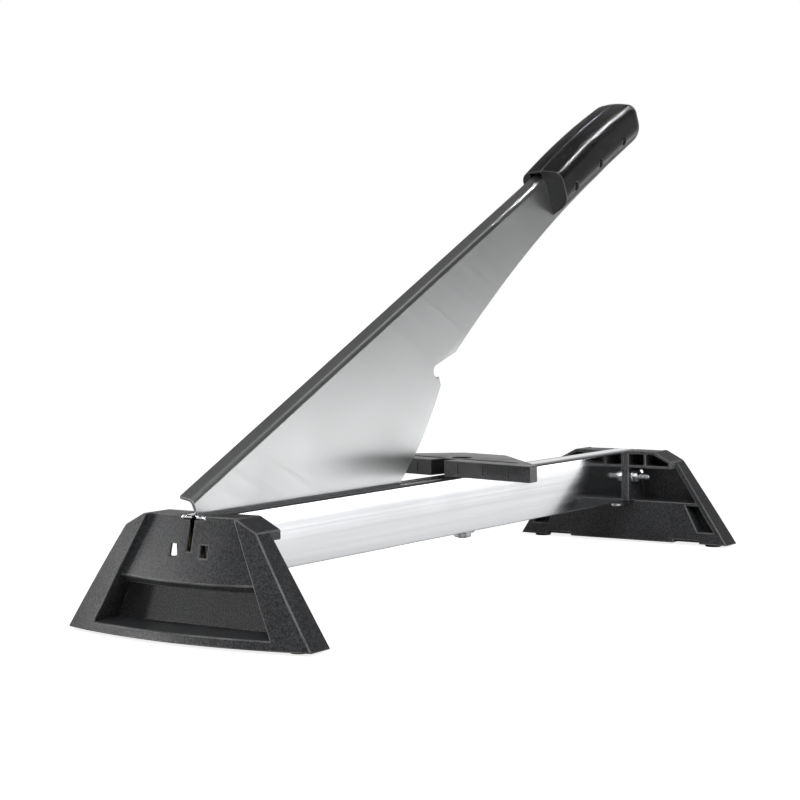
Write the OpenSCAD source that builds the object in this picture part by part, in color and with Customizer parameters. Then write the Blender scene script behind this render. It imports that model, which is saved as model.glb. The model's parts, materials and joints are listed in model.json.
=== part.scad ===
// Laminate cutter: a lever blade that swings through a slotted rail on two feet.
// X runs along the rail from the pivot foot to the far foot, Z is up.
// The origin is on the floor, midway between the feet. Millimetres.

/* [Base] */
// Distance between the outer bottom corners of the two feet
base_length = 529; // [420:1:700]
// Height of the rail's underside above a foot's bottom edge
rail_under = 30.5; // [28:0.5:40]
// How far the rail's end stands behind a foot's outer corner
rail_inset = 10; // [9:0.5:14]

/* [Feet] */
// Width of a foot at the floor
foot_width = 175.5; // [150:1:220]
// Width of a foot across its shoulders
shoulder_width = 94.4; // [86:0.2:110]
// Height of the shoulders above the bottom edge
shoulder_rise = 61.3; // [60:0.1:64]
// Width of a foot's flat top
top_width = 66.5; // [60:0.5:80]
// Depth of the side walls and of the back wall
foot_depth = 18.4; // [16:0.1:24]
// Depth of the box at the top of a foot
box_depth = 28.4; // [24:0.1:32]
// Height of the box at the top of a foot, down from the shoulders
box_drop = 5.5; // [4:0.1:7]
// How far the front bulges between its corners
front_bulge = 12; // [6:0.5:14]
// How far the front leans back, per millimetre of height
front_lean = 0.24; // [0.2:0.005:0.245]
// Width between the legs at the floor
bay_width = 132; // [110:1:150]
// How much each leg draws in, per millimetre of height
bay_draw = 0.508; // [0.4:0.004:0.52]
// Radius of the panel's bulge
panel_radius = 300; // [200:10:500]
// How far the panel leans back, per millimetre of height
panel_lean = 0.25; // [0.2:0.005:0.26]
// How far the panel's foot stands in front of the corners
panel_bulge = 7.6; // [6.5:0.1:8]
// Thickness of the panel
panel_wall = 2.6; // [2:0.1:3.5]
// Thickness of the other walls and ribs
foot_wall = 2.4; // [1.8:0.1:3.5]
// Height of the bar under the hand recess
bar_height = 5.5; // [4:0.1:9]
// Depth of the bevel under the panel's lip
lip_bevel = 3.7; // [2:0.1:5]
// Slope of the bevel under the panel's lip
lip_slope = 0.8; // [0.5:0.05:1.2]
// Height of the blade slot's lower end
panel_slot_foot = 48.8; // [46:0.1:50]
// Width of a panel window
window_width = 5.4; // [3:0.1:6]
// Height of a panel window
window_height = 6.8; // [4:0.1:8]
// Height of a window's middle
window_rise = 49; // [46:0.5:52]
// Distance of a window's middle from the blade
window_offset = 10.7; // [8:0.1:14]
// Thickness of the cheeks beside the rail
cheek = 2.9; // [2:0.1:4]
// Distance from a leg's sloped side to the hollow behind it
leg_wall = 5; // [3:0.1:7]
// Height of a leg hollow's lower edge
hollow_foot = 9; // [7:0.5:12]
// Width of the notch in the back wall's foot
notch_width = 21; // [14:1:26]
// Height of the notch in the back wall's foot
notch_height = 2.5; // [1.5:0.1:4]
// Distance of the notch's middle from the blade
notch_offset = 54.5; // [48:0.5:58]
// Diameter of a rubber pad
pad_diameter = 12; // [8:0.5:14]
// How far the pads lift the feet off the floor
pad_drop = 1.8; // [1:0.1:3]
// Depth of a pad's seat
pad_seat = 1.2; // [0.8:0.1:2.5]
// Distance of a pad from the blade
pad_offset = 73; // [66:0.5:75]
// Distance of a pad from the foot's outer corner
pad_inset = 10; // [8:0.5:11]

/* [Rail] */
// Width of the rail
rail_width = 18; // [16:0.1:22]
// Height of the rail
rail_height = 38; // [36:0.5:44]
// Thickness of the rail's walls
rail_wall = 2; // [1.5:0.1:3]
// Thickness of the rail's top
rail_top = 2.2; // [1.6:0.1:3]
// How far the lips under the rail reach in from the walls
rail_lip = 3; // [2:0.1:3.5]
// Radius of the rail's upper edges
rail_round = 1.8; // [1:0.1:2.4]
// Width of the fine groove along each edge of the top
groove_width = 0.7; // [0.4:0.1:1]
// Depth of the fine groove
groove_depth = 0.5; // [0.3:0.1:0.8]
// Distance of the fine groove from the rail's side
groove_inset = 2.6; // [2.4:0.1:3.5]

/* [Blade] */
// Angle of the arm at rest, half way through a cut
arm_angle = 26.2; // [14:0.1:60]
// How far the arm swings down from rest to close
close_angle = 15; // [10:0.5:15]
// Thickness of the sheet
sheet = 2; // [1.5:0.1:2.6]
// Room between the sheet and a slot's side
slot_gap = 0.6; // [0.4:0.1:1]
// Distance of the pivot from the near foot's outer corner
pivot_inset = 37; // [36:0.5:40]
// Height of the pivot above the rail's underside
pivot_rise = 20.5; // [18:0.5:21]
// Diameter of the pivot
pivot_diameter = 8; // [6:0.5:9]
// Running clearance in the blade's bore, on the radius
bore_gap = 0.05; // [0.02:0.01:0.1]
// Radius of the heel round the pivot, and how far the sheet runs behind it
heel = 14.2; // [12:0.1:14.5]
// Height of the spine above the pivot
spine_rise = 37; // [36:0.1:40]
// Width of the flange along the spine, from the sheet's far face
flange_width = 9.6; // [7:0.1:12]
// Upward tilt of the flange
flange_tilt = 14; // [0:1:25]
// Outer radius of the fold
fold_radius = 4; // [3:0.1:5]
// Radius of the curved cutting edge
edge_radius = 217; // [200:1:260]
// Distance of the cutting corner from the pivot, along the arm
corner_reach = 236.3; // [215:0.1:260]
// Depth of the cutting corner below the pivot
corner_drop = 29.3; // [26:0.1:32]
// Length of the curved cutting edge along the arm
edge_run = 81; // [70:0.5:90]
// Depth of the cutting edge's inner end below the pivot
edge_drop = 63.8; // [58:0.1:66]
// Depth of the step behind the cutting corner
step_rise = 14.3; // [12:0.1:16]
// Length of the step along the arm
step_run = 26; // [20:0.5:32]
// Fall of the step towards the handle
step_fall = 3.6; // [2:0.1:6]
// Radius in the step's inner corner
step_round = 4; // [2:0.5:6]
// How far the arm's lower edge is hollowed between step and grip
arm_hollow = 2.9; // [1:0.1:5]

/* [Grip] */
// Distance of the grip's front from the pivot, along the arm
grip_reach = 418.5; // [390:0.5:450]
// Length of the grip
grip_length = 130.5; // [120:0.5:150]
// Width of the grip
grip_width = 33; // [30:0.2:38]
// Height of the grip
grip_height = 38; // [36:0.5:42]
// Height of the grip's top above the spine
grip_crown = 8; // [7.5:0.1:9]
// Radius of the arched top
grip_arch = 750; // [600:50:3000]
// Radius of the grip's upper edges
grip_edge = 9; // [5:0.5:12]
// Radius of the grip's belly
grip_belly = 12; // [9:0.5:13]
// Height of the widest part above the grip's underside
grip_waist = 24; // [22:0.5:26]
// Radius of the upper far corner
grip_nose = 12; // [10:0.5:14]
// Radius of the lower far corner
grip_chin = 18; // [12:0.5:18]
// Width of the arm's sheet where it enters the grip
tang_height = 33.4; // [30:0.1:34]
// Distance of the first grip screw from the grip's front
grip_screw_start = 16.5; // [14:0.5:24]
// Distance between grip screws
grip_screw_step = 40; // [32:0.5:42]
// Distance of the grip screws below the spine
grip_screw_drop = 14.5; // [12:0.5:17]
// Diameter of a grip screw's shank
grip_screw = 4; // [3:0.1:4.5]
// Diameter of a grip screw's head
grip_head = 6; // [5.6:0.1:7]

/* [Fence] */
// Turn of the fence at rest, seen from above
fence_turn = -10.5; // [-11:0.5:11]
// Reach of the fence's right wing
fence_reach = 81; // [70:0.5:84]
// Reach of the fence's left wing
fence_left = 76; // [68:0.5:78]
// Height of the fence
fence_height = 10.5; // [10:0.1:14]
// Depth of the fence's ends
fence_end = 10; // [6:0.5:14]
// How far the ends draw in
fence_taper = 2.7; // [0:0.5:5]
// Distance from the bolt to the fence's back
fence_back = 31.5; // [24:0.5:36]
// How far the fence's back runs to the right
fence_tail = 11.5; // [9:0.5:16]
// How far the fence's back runs to the left before its mitre edge
fence_mitre = 26; // [22:0.5:28]
// Width of the gap that the blade passes
fence_gap = 12; // [11.6:0.1:13]
// Depth of the gap behind the closed blade
tip_room = 2.4; // [1.5:0.1:4]
// Wall between the gap and the bolt's pocket
fence_land = 3.6; // [2.5:0.1:6]
// Distance the front stands before the closed blade's corner
fence_lead = 10.6; // [8:0.1:14]
// Diameter of the bolt's pocket
fence_pocket = 14; // [13:0.5:17]
// Depth of the bolt's pocket
pocket_depth = 6; // [5.5:0.1:6.5]
// Thickness of the disc under the fence
glide = 0.8; // [0.5:0.1:1.5]
// Room between the fence and the bolt's washer or the disc
turn_gap = 0.1; // [0.05:0.05:0.3]
// Height of the fence's underside above the rail
fence_lift = 0.3; // [0.2:0.05:0.4]
// Diameter of the fence bolt
fence_bolt_diameter = 6; // [5:0.5:6.5]
// Wall of the fence over its underside pockets
fence_wall = 2.5; // [2:0.1:4]

/* [Fasteners] */
// Diameter of the far clamp bolt
clamp_diameter = 5; // [4:0.5:5.5]
// Distance of the clamp bolt from the foot's outer corner
clamp_inset = 21; // [19:0.5:22]
// Height of the clamp bolt above the rail's underside
clamp_rise = 18.5; // [14:0.5:20]
// Length of thread beyond the clamp bolt's nut
clamp_tail = 9; // [3:0.5:12]
// Diameter of the screws under the rail
lug_screw = 4; // [3:0.5:5]
// Distance of the screws under the rail from the foot's outer corner
lug_inset = 24.5; // [23:0.5:25]
// Thickness of the lug under the rail
lug_wall = 2.5; // [2:0.1:4]
// Room round a bolt or screw, on the radius
bolt_gap = 0.15; // [0.1:0.05:0.3]
// Room between pieces that are slid together
fit_gap = 0.15; // [0.1:0.05:0.3]
// Thickness of a washer
washer = 1.2; // [0.8:0.1:1.6]

/* [Hidden] */
$fn = 96;
over = 1;
blend = 0.01;
foot_half = foot_width / 2;
shoulder_half = shoulder_width / 2;
top_half = top_width / 2;
rail_half = rail_width / 2;
rail_inner = rail_half - rail_wall;
foot_height = rail_under + rail_height - 0.1;
side_draw = (foot_half - shoulder_half) / shoulder_rise;
box_floor = shoulder_rise - box_drop;
recess_roof = rail_under - foot_wall;
recess_back = foot_depth - foot_wall;
channel_half = rail_half + fit_gap;
cheek_out = channel_half + cheek;
far = 400;

near_corner = -base_length / 2;
rail_base = pad_drop + rail_under;
rail_crest = rail_base + rail_height;
rail_length = base_length - 2 * rail_inset;
slot_half = sheet / 2 + slot_gap;

pivot_x = near_corner + pivot_inset;
pivot_z = rail_base + pivot_rise;
pivot_washer_r = 7;
pivot_head_r = 7.4;
pivot_head_h = 5;

fold_n = spine_rise - fold_radius;
flange_run = (flange_width - sheet / 2 - fold_radius * (1 - sin(flange_tilt))) / cos(flange_tilt);
edge_start = corner_reach - edge_run;
grip_top = spine_rise + grip_crown;
grip_foot = grip_top - grip_height;
grip_half = grip_width / 2;
tang_foot = spine_rise - tang_height;
tang_inset = 12;
tang_end = grip_reach + grip_length - tang_inset;
flange_lap = 12;
flange_end = grip_reach + flange_lap;
grip_screw_n = spine_rise - grip_screw_drop;
grip_head_depth = 5;
grip_blunt = 7;
grip_head_h = 2.4;
grip_nut_r = 4;
grip_nut_h = 3;

closed = arm_angle - close_angle;
tip_x = pivot_x + corner_reach * cos(closed) + corner_drop * sin(closed);
gap_end = tip_x + tip_room;
fence_x = gap_end + fence_land + fence_pocket / 2;
fence_front = fence_x - tip_x + fence_lead;
fence_foot = rail_crest + fence_lift;
fence_crest = fence_foot + fence_height;
pocket_floor = fence_crest - pocket_depth;
fence_nut_h = 3.2;
fence_bolt_end = 0.6;
fence_head_h = 3.6;

clamp_z = rail_base + clamp_rise;
clamp_nut_r = 4.6;
clamp_nut_h = 4;
clamp_washer_r = 5;
lug_z = rail_base - lug_wall;
lug_half = 7;
lug_reach = lug_inset + 5;
lug_head_h = 2.6;
lug_nut_h = 3;
lug_nut_half = rail_inner - 1.5;
glide_r = rail_half - rail_round;
fence_groove = 4.5;
groove_sink = 1;
groove_lead = 8;
groove_start = fence_pocket / 2 + 2;
groove_end = 0.7 * fence_reach;
mark_size = 0.8;
mark_step = fence_reach / 3.65;
pointer_r = 1.5;
pointer_h = 1;
pointer_x = fence_back - 10;
pointer_y = fence_mitre + 4;

// Extrudes a Y-Z outline along X, from x0 to x1
module along_x(x0, x1)
    translate([x0, 0, 0])
        rotate([90, 0, 90])
            linear_extrude(x1 - x0)
                children();

// Extrudes an X-Z outline along Y, from y0 to y1
module along_y(y0, y1)
    translate([0, y1, 0])
        rotate([90, 0, 0])
            linear_extrude(y1 - y0)
                children();

// A box between two corners
module span(low, high)
    translate(low)
        cube(high - low);

// Draws its children once on each side of the blade
module both_sides()
    for (side = [0, 1])
        mirror([0, side, 0])
            children();

// A round bar along Y, from y0 to y1
module bar_y(x, z, r, y0, y1)
    translate([x, y1, z])
        rotate([90, 0, 0])
            cylinder(r = r, h = y1 - y0);

// A hexagon along Y, from y0 to y1
module hex_y(x, z, r, y0, y1)
    translate([x, y1, z])
        rotate([90, 0, 0])
            cylinder(r = r, h = y1 - y0, $fn = 6);

// Everything behind a bulged, leaning wall whose foot is at x in the middle
module behind_wall(x, radius, lean) {
    tilt = atan(lean);
    translate([x + radius / cos(tilt), 0, 0])
        rotate([0, tilt, 0])
            cylinder(r = radius, h = 2 * far, center = true, $fn = 256);
}

function side_at(z) = foot_half - side_draw * z;
function bay_at(z) = bay_width / 2 - bay_draw * z;
function chamfer_at(y) = foot_height - (y - top_half) * (foot_height - shoulder_rise) / (shoulder_half - top_half);

// Front outline of a foot
module foot_outline()
    polygon([
        [-foot_half, 0], [foot_half, 0],
        [shoulder_half, shoulder_rise], [top_half, foot_height],
        [-top_half, foot_height], [-shoulder_half, shoulder_rise]
    ]);

// Outline of the deeper box under a foot's top
module box_outline()
    polygon([
        [-shoulder_half, box_floor], [shoulder_half, box_floor],
        [shoulder_half, shoulder_rise], [top_half, foot_height],
        [-top_half, foot_height], [-shoulder_half, shoulder_rise]
    ]);

// Outline of the space between the legs, from z0 to z1
module bay_outline(z0, z1)
    polygon([
        [-bay_at(z0), z0], [bay_at(z0), z0],
        [bay_at(z1), z1], [-bay_at(z1), z1]
    ]);

// What stays between the legs: the panel with its lip, and the back wall
module panel_body() {
    lip_x = panel_lean * recess_roof - panel_bulge + lip_bevel + lip_slope * recess_roof;
    intersection() {
        behind_wall(-panel_bulge, panel_radius, panel_lean);
        behind_wall(lip_x, panel_radius, -lip_slope);
        span([-far, -far, recess_roof], [far, far, far]);
    }
    span([recess_back, -far, -far], [far, far, far]);
}

// Room behind the panel, open towards the rail
module upper_hollow()
    intersection() {
        behind_wall(panel_wall - panel_bulge, panel_radius, panel_lean);
        union() {
            both_sides()
                along_x(0, box_depth + over)
                    polygon([
                        [cheek_out, rail_under],
                        [side_at(rail_under) - leg_wall, rail_under],
                        [side_at(box_floor) - leg_wall, box_floor],
                        [cheek_out, box_floor]
                    ]);
            span([0, -channel_half, rail_under], [box_depth + over, channel_half, foot_height - rail_top]);
        }
    }

// Open pockets in the box under the top
module box_pockets() {
    low = box_floor + 2;
    high = foot_height - foot_wall;
    middle = (cheek_out + shoulder_half) / 2 - 4;
    outer = shoulder_half - foot_wall;
    bend = top_half - 1;
    intersection() {
        behind_wall(panel_wall - panel_bulge, panel_radius, panel_lean);
        both_sides()
            along_x(0, box_depth + over) {
                polygon([
                    [cheek_out, low], [middle - 1, low],
                    [middle - 1, high], [cheek_out, high]
                ]);
                polygon([
                    [middle + 1, low], [outer, low],
                    [outer, chamfer_at(outer) - foot_wall],
                    [bend, high], [middle + 1, high]
                ]);
            }
    }
}

// Hollow core of a leg, open at the back
module leg_hollows() {
    roof = recess_roof;
    both_sides()
        along_x(foot_wall + lip_bevel - 1, foot_depth + over)
            polygon([
                [bay_at(hollow_foot) + foot_wall, hollow_foot],
                [side_at(hollow_foot) - leg_wall, hollow_foot],
                [side_at(roof) - leg_wall, roof],
                [bay_at(roof) + foot_wall, roof]
            ]);
}

// Shallow coring pockets under the bar
module bar_pockets() {
    pitch = 18;
    for (i = [-2:1:1])
        span(
            [foot_wall, i * pitch + foot_wall / 2, -over],
            [recess_back - foot_wall, (i + 1) * pitch - foot_wall / 2, bar_height - foot_wall]
        );
}

// One foot, with its outer bottom corner at x = 0 and its bottom edge at z = 0
module foot() {
    bolt_r = clamp_diameter / 2 + bolt_gap;
    difference() {
        union() {
            intersection() {
                behind_wall(-front_bulge, (foot_half * foot_half) / (2 * front_bulge), front_lean);
                union() {
                    along_x(-far / 2, foot_depth)
                        foot_outline();
                    along_x(-far / 2, box_depth)
                        box_outline();
                }
            }
            both_sides()
                span([foot_depth - over, channel_half, rail_under], [box_depth, cheek_out, box_floor + over]);
            span([foot_depth - over, -lug_half, rail_under - lug_wall], [lug_reach, lug_half, rail_under]);
        }
        difference() {
            along_x(-far / 2, recess_back)
                bay_outline(bar_height, foot_height + over);
            panel_body();
        }
        upper_hollow();
        box_pockets();
        leg_hollows();
        bar_pockets();
        span([rail_inset - fit_gap, -channel_half, rail_under], [far, channel_half, far]);
        span([-far, -channel_half, foot_height - rail_top], [far, channel_half, far]);
        span([-far, -slot_half, panel_slot_foot], [rail_inset, slot_half, far]);
        both_sides() {
            span(
                [-far, window_offset - window_width / 2, window_rise - window_height / 2],
                [rail_inset - 1, window_offset + window_width / 2, window_rise + window_height / 2]
            );
            span(
                [recess_back - 6, notch_offset - notch_width / 2, -over],
                [foot_depth + over, notch_offset + notch_width / 2, notch_height]
            );
            translate([pad_inset, pad_offset, -over])
                cylinder(d = pad_diameter + 2 * fit_gap, h = pad_seat + over);
        }
        bar_y(clamp_inset, rail_under + clamp_rise, bolt_r, -far / 2, far / 2);
        translate([lug_inset, 0, 0])
            cylinder(r = lug_screw / 2 + bolt_gap, h = rail_under + over);
    }
}

// Puts a foot's own pieces at the near or the far end
module at_end(end)
    rotate([0, 0, end == "near" ? 0 : 180])
        translate([near_corner, 0, pad_drop])
            children();

module near_foot()
    color([0.16, 0.16, 0.17])
        at_end("near")
            foot();

module far_foot()
    color([0.16, 0.16, 0.17])
        at_end("far")
            foot();

module rubber_pads()
    color([0.05, 0.05, 0.05])
        for (end = ["near", "far"])
            at_end(end)
                both_sides()
                    translate([pad_inset, pad_offset, -pad_drop])
                        cylinder(d = pad_diameter, h = pad_drop + pad_seat);

// Cross-section of the rail, centred on the blade, from its underside up
module rail_section()
    difference() {
        union() {
            translate([-rail_half, 0])
                square([rail_width, rail_height - rail_round]);
            translate([-rail_half + rail_round, 0])
                square([rail_width - 2 * rail_round, rail_height]);
            for (side = [-1, 1])
                translate([side * (rail_half - rail_round), rail_height - rail_round])
                    circle(r = rail_round);
        }
        translate([-rail_inner, rail_wall])
            square([2 * rail_inner, rail_height - rail_wall - rail_top]);
        translate([-rail_inner + rail_lip, -over])
            square([2 * (rail_inner - rail_lip), rail_wall + 2 * over]);
        for (side = [-1, 1])
            translate([side * (rail_half - groove_inset) - groove_width / 2, rail_height - groove_depth])
                square([groove_width, groove_depth + over]);
    }

module rail() {
    near_end = near_corner + rail_inset;
    color([0.82, 0.83, 0.85])
        difference() {
            translate([0, 0, rail_base])
                along_x(near_end, near_end + rail_length)
                    rail_section();
            span([near_end - over, -slot_half, rail_crest - rail_top - over],
                [gap_end - slot_half, slot_half, rail_crest + over]);
            translate([gap_end - slot_half, 0, rail_crest - rail_top - over])
                cylinder(r = slot_half, h = rail_top + 2 * over);
            bar_y(pivot_x, pivot_z, pivot_diameter / 2 + bolt_gap, -rail_width, rail_width);
            for (side = [-1, 1])
                bar_y(side * (near_corner + clamp_inset), clamp_z, clamp_diameter / 2 + bolt_gap,
                    -rail_width, rail_width);
            translate([fence_x, 0, rail_crest - rail_top - over])
                cylinder(r = fence_bolt_diameter / 2 + bolt_gap, h = rail_top + 2 * over);
        }
}

// Places arm coordinates: x along the arm from the pivot, z square to it
module on_arm()
    translate([pivot_x, 0, pivot_z])
        rotate([0, -arm_angle, 0])
            children();

// Outline of the arm from heel to tang, without the cutting edge
module arm_outline()
    polygon([
        [-heel, 0], [0, 0],
        [corner_reach, step_rise - corner_drop],
        [corner_reach + step_run, step_rise - corner_drop - step_fall],
        [grip_reach, tang_foot], [tang_end, tang_foot + 4],
        [tang_end, fold_n - 3], [flange_end, fold_n - 3],
        [flange_end, fold_n], [-heel, fold_n]
    ]);

// Outline of the cutting plate, bounded below by the curved edge
module edge_outline() {
    chord = [edge_run, edge_drop - corner_drop];
    half = norm(chord) / 2;
    lift = sqrt(edge_radius * edge_radius - half * half);
    centre = [
        corner_reach - chord[0] / 2 - lift * chord[1] / norm(chord),
        -corner_drop - chord[1] / 2 + lift * chord[0] / norm(chord)
    ];
    reach = norm([edge_start, edge_drop]);
    lean = asin(heel / reach) - atan(edge_drop / edge_start);
    touch = (heel - blend) * [sin(lean), -cos(lean)];
    slope = [cos(lean), sin(lean)];
    union() {
        circle(r = heel);
        intersection() {
            translate(centre)
                circle(r = edge_radius, $fn = 256);
            polygon([
                [0, 0], touch, [edge_start, -edge_drop] + 6 * slope,
                [corner_reach, -edge_drop],
                [corner_reach, step_rise - corner_drop + over]
            ]);
        }
    }
}

// Round relief in the inner corner of the step
module step_relief()
    translate([corner_reach, step_rise - corner_drop - step_round])
        circle(r = step_round);

// Large disc that hollows the arm's lower edge between step and grip
module arm_relief() {
    start = [corner_reach + step_run, step_rise - corner_drop - step_fall];
    chord = [grip_reach, tang_foot] - start;
    run = norm(chord);
    radius = (run * run / 4 + arm_hollow * arm_hollow) / (2 * arm_hollow);
    side = [chord[1], -chord[0]] / run;
    translate(start + chord / 2 + (radius - arm_hollow) * side)
        circle(r = radius, $fn = 256);
}

// Cross-section of the fold and the flange along the spine
module flange_section()
    translate([fold_radius - sheet / 2, fold_n])
        difference() {
            union() {
                circle(r = fold_radius);
                rotate(flange_tilt)
                    square([flange_run, fold_radius - blend]);
            }
            circle(r = fold_radius - sheet);
            rotate(flange_tilt)
                square([flange_run + over, fold_radius - sheet - blend]);
            polygon([
                [-2 * fold_radius, 0], [0, 0],
                3 * flange_run * [cos(flange_tilt + 3), sin(flange_tilt + 3)],
                [3 * flange_run, -2 * fold_radius], [-2 * fold_radius, -2 * fold_radius]
            ]);
        }

module blade()
    color([0.72, 0.74, 0.75])
        on_arm()
            difference() {
                union() {
                    along_y(-sheet / 2, sheet / 2)
                        difference() {
                            union() {
                                difference() {
                                    arm_outline();
                                    arm_relief();
                                }
                                edge_outline();
                            }
                            step_relief();
                        }
                    along_x(-heel, flange_end)
                        flange_section();
                }
                bar_y(0, 0, pivot_diameter / 2 + bore_gap, -sheet, sheet);
                for (i = [0:2])
                    bar_y(grip_reach + grip_screw_start + i * grip_screw_step, grip_screw_n,
                        grip_screw / 2 + bolt_gap, -sheet, sheet);
            }

module pivot_bolt()
    color([0.7, 0.71, 0.72]) {
        bar_y(pivot_x, pivot_z, pivot_diameter / 2, -rail_half - washer - pivot_head_h - 2, rail_half + washer);
        hex_y(pivot_x, pivot_z, pivot_head_r, rail_half + washer, rail_half + washer + pivot_head_h);
    }

module pivot_bushes()
    color([0.75, 0.62, 0.3])
        both_sides()
            difference() {
                bar_y(pivot_x, pivot_z, heel - 4, sheet / 2 + 0.3, rail_inner);
                bar_y(pivot_x, pivot_z, pivot_diameter / 2 + bore_gap, 0, rail_width);
            }

// A flat ring along Y, from y0 to y1
module ring_y(x, z, r, bore, y0, y1)
    difference() {
        bar_y(x, z, r, y0, y1);
        bar_y(x, z, bore, y0 - over, y1 + over);
    }

module pivot_washers()
    color([0.75, 0.76, 0.77])
        both_sides()
            ring_y(pivot_x, pivot_z, pivot_washer_r, pivot_diameter / 2 + bolt_gap,
                rail_half, rail_half + washer);

module pivot_nut() {
    seat = rail_half + washer;
    color([0.7, 0.71, 0.72])
        difference() {
            hex_y(pivot_x, pivot_z, pivot_head_r, -seat - pivot_head_h, -seat);
            bar_y(pivot_x, pivot_z, pivot_diameter / 2 + bore_gap, -far, far);
        }
}

module near_side_screws() {
    x = near_corner + clamp_inset;
    color([0.72, 0.73, 0.74])
        both_sides() {
            bar_y(x, clamp_z, clamp_diameter / 2, rail_inner + 0.5, cheek_out);
            bar_y(x, clamp_z, clamp_diameter * 0.9, cheek_out, cheek_out + 2.6);
        }
}

module clamp_bolt() {
    x = -near_corner - clamp_inset;
    seat = cheek_out + washer;
    color([0.75, 0.76, 0.77]) {
        bar_y(x, clamp_z, clamp_diameter / 2, -seat - clamp_nut_h - clamp_tail, seat);
        hex_y(x, clamp_z, clamp_nut_r, seat, seat + 3.5);
    }
}

module clamp_washers()
    color([0.78, 0.79, 0.8])
        both_sides()
            ring_y(-near_corner - clamp_inset, clamp_z, clamp_washer_r,
                clamp_diameter / 2 + bolt_gap, cheek_out, cheek_out + washer);

module clamp_nut() {
    x = -near_corner - clamp_inset;
    seat = cheek_out + washer;
    color([0.75, 0.76, 0.77])
        difference() {
            hex_y(x, clamp_z, clamp_nut_r, -seat - clamp_nut_h, -seat);
            bar_y(x, clamp_z, clamp_diameter / 2 + bore_gap, -far, far);
        }
}

module clamp_spacer()
    color([0.7, 0.71, 0.72])
        ring_y(-near_corner - clamp_inset, clamp_z, clamp_diameter / 2 + 1.5,
            clamp_diameter / 2 + bolt_gap, -rail_inner, rail_inner);

module lug_screws()
    color([0.8, 0.81, 0.82])
        for (side = [-1, 1])
            translate([side * (near_corner + lug_inset), 0, lug_z - lug_head_h]) {
                cylinder(d = 2 * lug_screw + 0.6, h = lug_head_h);
                cylinder(d = lug_screw, h = lug_head_h + lug_wall + rail_wall + lug_nut_h + 1);
            }

module lug_nuts() {
    color([0.7, 0.71, 0.72])
        for (side = [-1, 1])
            translate([side * (near_corner + lug_inset), 0, rail_base + rail_wall])
                difference() {
                    span([-lug_nut_half, -lug_nut_half, 0], [lug_nut_half, lug_nut_half, lug_nut_h]);
                    translate([0, 0, -over])
                        cylinder(d = lug_screw + 2 * bore_gap, h = lug_nut_h + 2 * over);
                }
}

// Plan of the fence round its bolt, before it is turned
module fence_outline()
    polygon([
        [-fence_front, -fence_reach], [-fence_front, fence_left],
        [fence_back - fence_left + fence_mitre, fence_left],
        [fence_back, fence_mitre], [fence_back, -fence_tail],
        [fence_end - fence_front, fence_taper - fence_reach]
    ]);

// Coring pockets under the wings of the fence
module wing_pockets() {
    slope = (fence_reach - fence_taper - fence_tail) / (fence_back - fence_end + fence_front);
    front = fence_wall - fence_front;
    inner = fence_pocket / 2 + fence_wall + 1;
    outer = fence_reach - fence_taper - 2 * fence_wall;
    back = fence_back - (inner - fence_tail) / slope - 2 * fence_wall;
    polygon([
        [front, -inner], [front, -outer],
        [fence_end - fence_front - fence_wall, -outer],
        [back, -inner]
    ]);
    rim = fence_back + fence_mitre - 2 * fence_wall;
    polygon([
        [front, inner], [fence_back - fence_wall, inner],
        [fence_back - fence_wall, rim - fence_back + fence_wall],
        [front, min(rim - front, fence_left - fence_wall)]
    ]);
}

// Places fence coordinates: the bolt is the origin, z from the fence's underside
module on_fence()
    translate([fence_x, 0, fence_foot])
        rotate([0, 0, fence_turn])
            children();

module fence()
    color([0.12, 0.12, 0.13])
        on_fence()
            difference() {
                linear_extrude(fence_height)
                    fence_outline();
                span([-fence_front - over, -fence_gap / 2, -over],
                    [gap_end - fence_x, fence_gap / 2, fence_height + over]);
                translate([0, 0, -over])
                    cylinder(r = fence_bolt_diameter / 2 + bore_gap, h = fence_height + 2 * over);
                translate([0, 0, -over])
                    cylinder(r = glide_r + bolt_gap, h = glide + turn_gap - fence_lift + over);
                translate([0, 0, fence_height - pocket_depth])
                    cylinder(d = fence_pocket, h = pocket_depth + over);
                translate([0, 0, -over])
                    linear_extrude(fence_height - fence_wall + over)
                        wing_pockets();
                both_sides() {
                    span([-fence_groove / 2 - groove_lead, groove_start, fence_height - groove_sink],
                        [fence_groove / 2 - groove_lead, groove_end, fence_height + over]);
                    for (i = [1:3])
                        translate([-fence_front, (i - 0.2) * mark_step, fence_height * 0.2])
                            span([-over, 0, 0], [mark_size, mark_size, fence_height * 0.6]);
                }
                pointer_shape(fit_gap);
            }

// The round index mark by the fence's mitre edge
module pointer_shape(room)
    translate([pointer_x, pointer_y, fence_height - pointer_h - room])
        cylinder(r = pointer_r + room, h = pointer_h + room + (room > 0 ? over : 0));

module fence_pointer()
    color([0.8, 0.1, 0.05])
        on_fence()
            pointer_shape(0);

module fence_bolt() {
    seat = pocket_floor + turn_gap + washer;
    foot = rail_base - washer - fence_nut_h - fence_bolt_end;
    color([0.3, 0.3, 0.31])
        translate([fence_x, 0, 0]) {
            translate([0, 0, foot])
                cylinder(d = fence_bolt_diameter, h = seat - foot);
            difference() {
                translate([0, 0, seat])
                    cylinder(d = 1.7 * fence_bolt_diameter, h = fence_head_h);
                translate([0, 0, seat + 1.2])
                    cylinder(d = 0.75 * fence_bolt_diameter, h = 4, $fn = 6);
            }
        }
}

module fence_washers() {
    bore = fence_bolt_diameter / 2 + bolt_gap;
    color([0.75, 0.76, 0.77])
        translate([fence_x, 0, 0]) {
            translate([0, 0, pocket_floor + turn_gap])
                difference() {
                    cylinder(d = fence_pocket - 1, h = washer);
                    translate([0, 0, -over])
                        cylinder(r = bore, h = washer + 2 * over);
                }
            translate([0, 0, rail_base - washer])
                difference() {
                    cylinder(r = rail_half - 1, h = washer);
                    translate([0, 0, -over])
                        cylinder(r = bore, h = washer + 2 * over);
                }
        }
}

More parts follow.
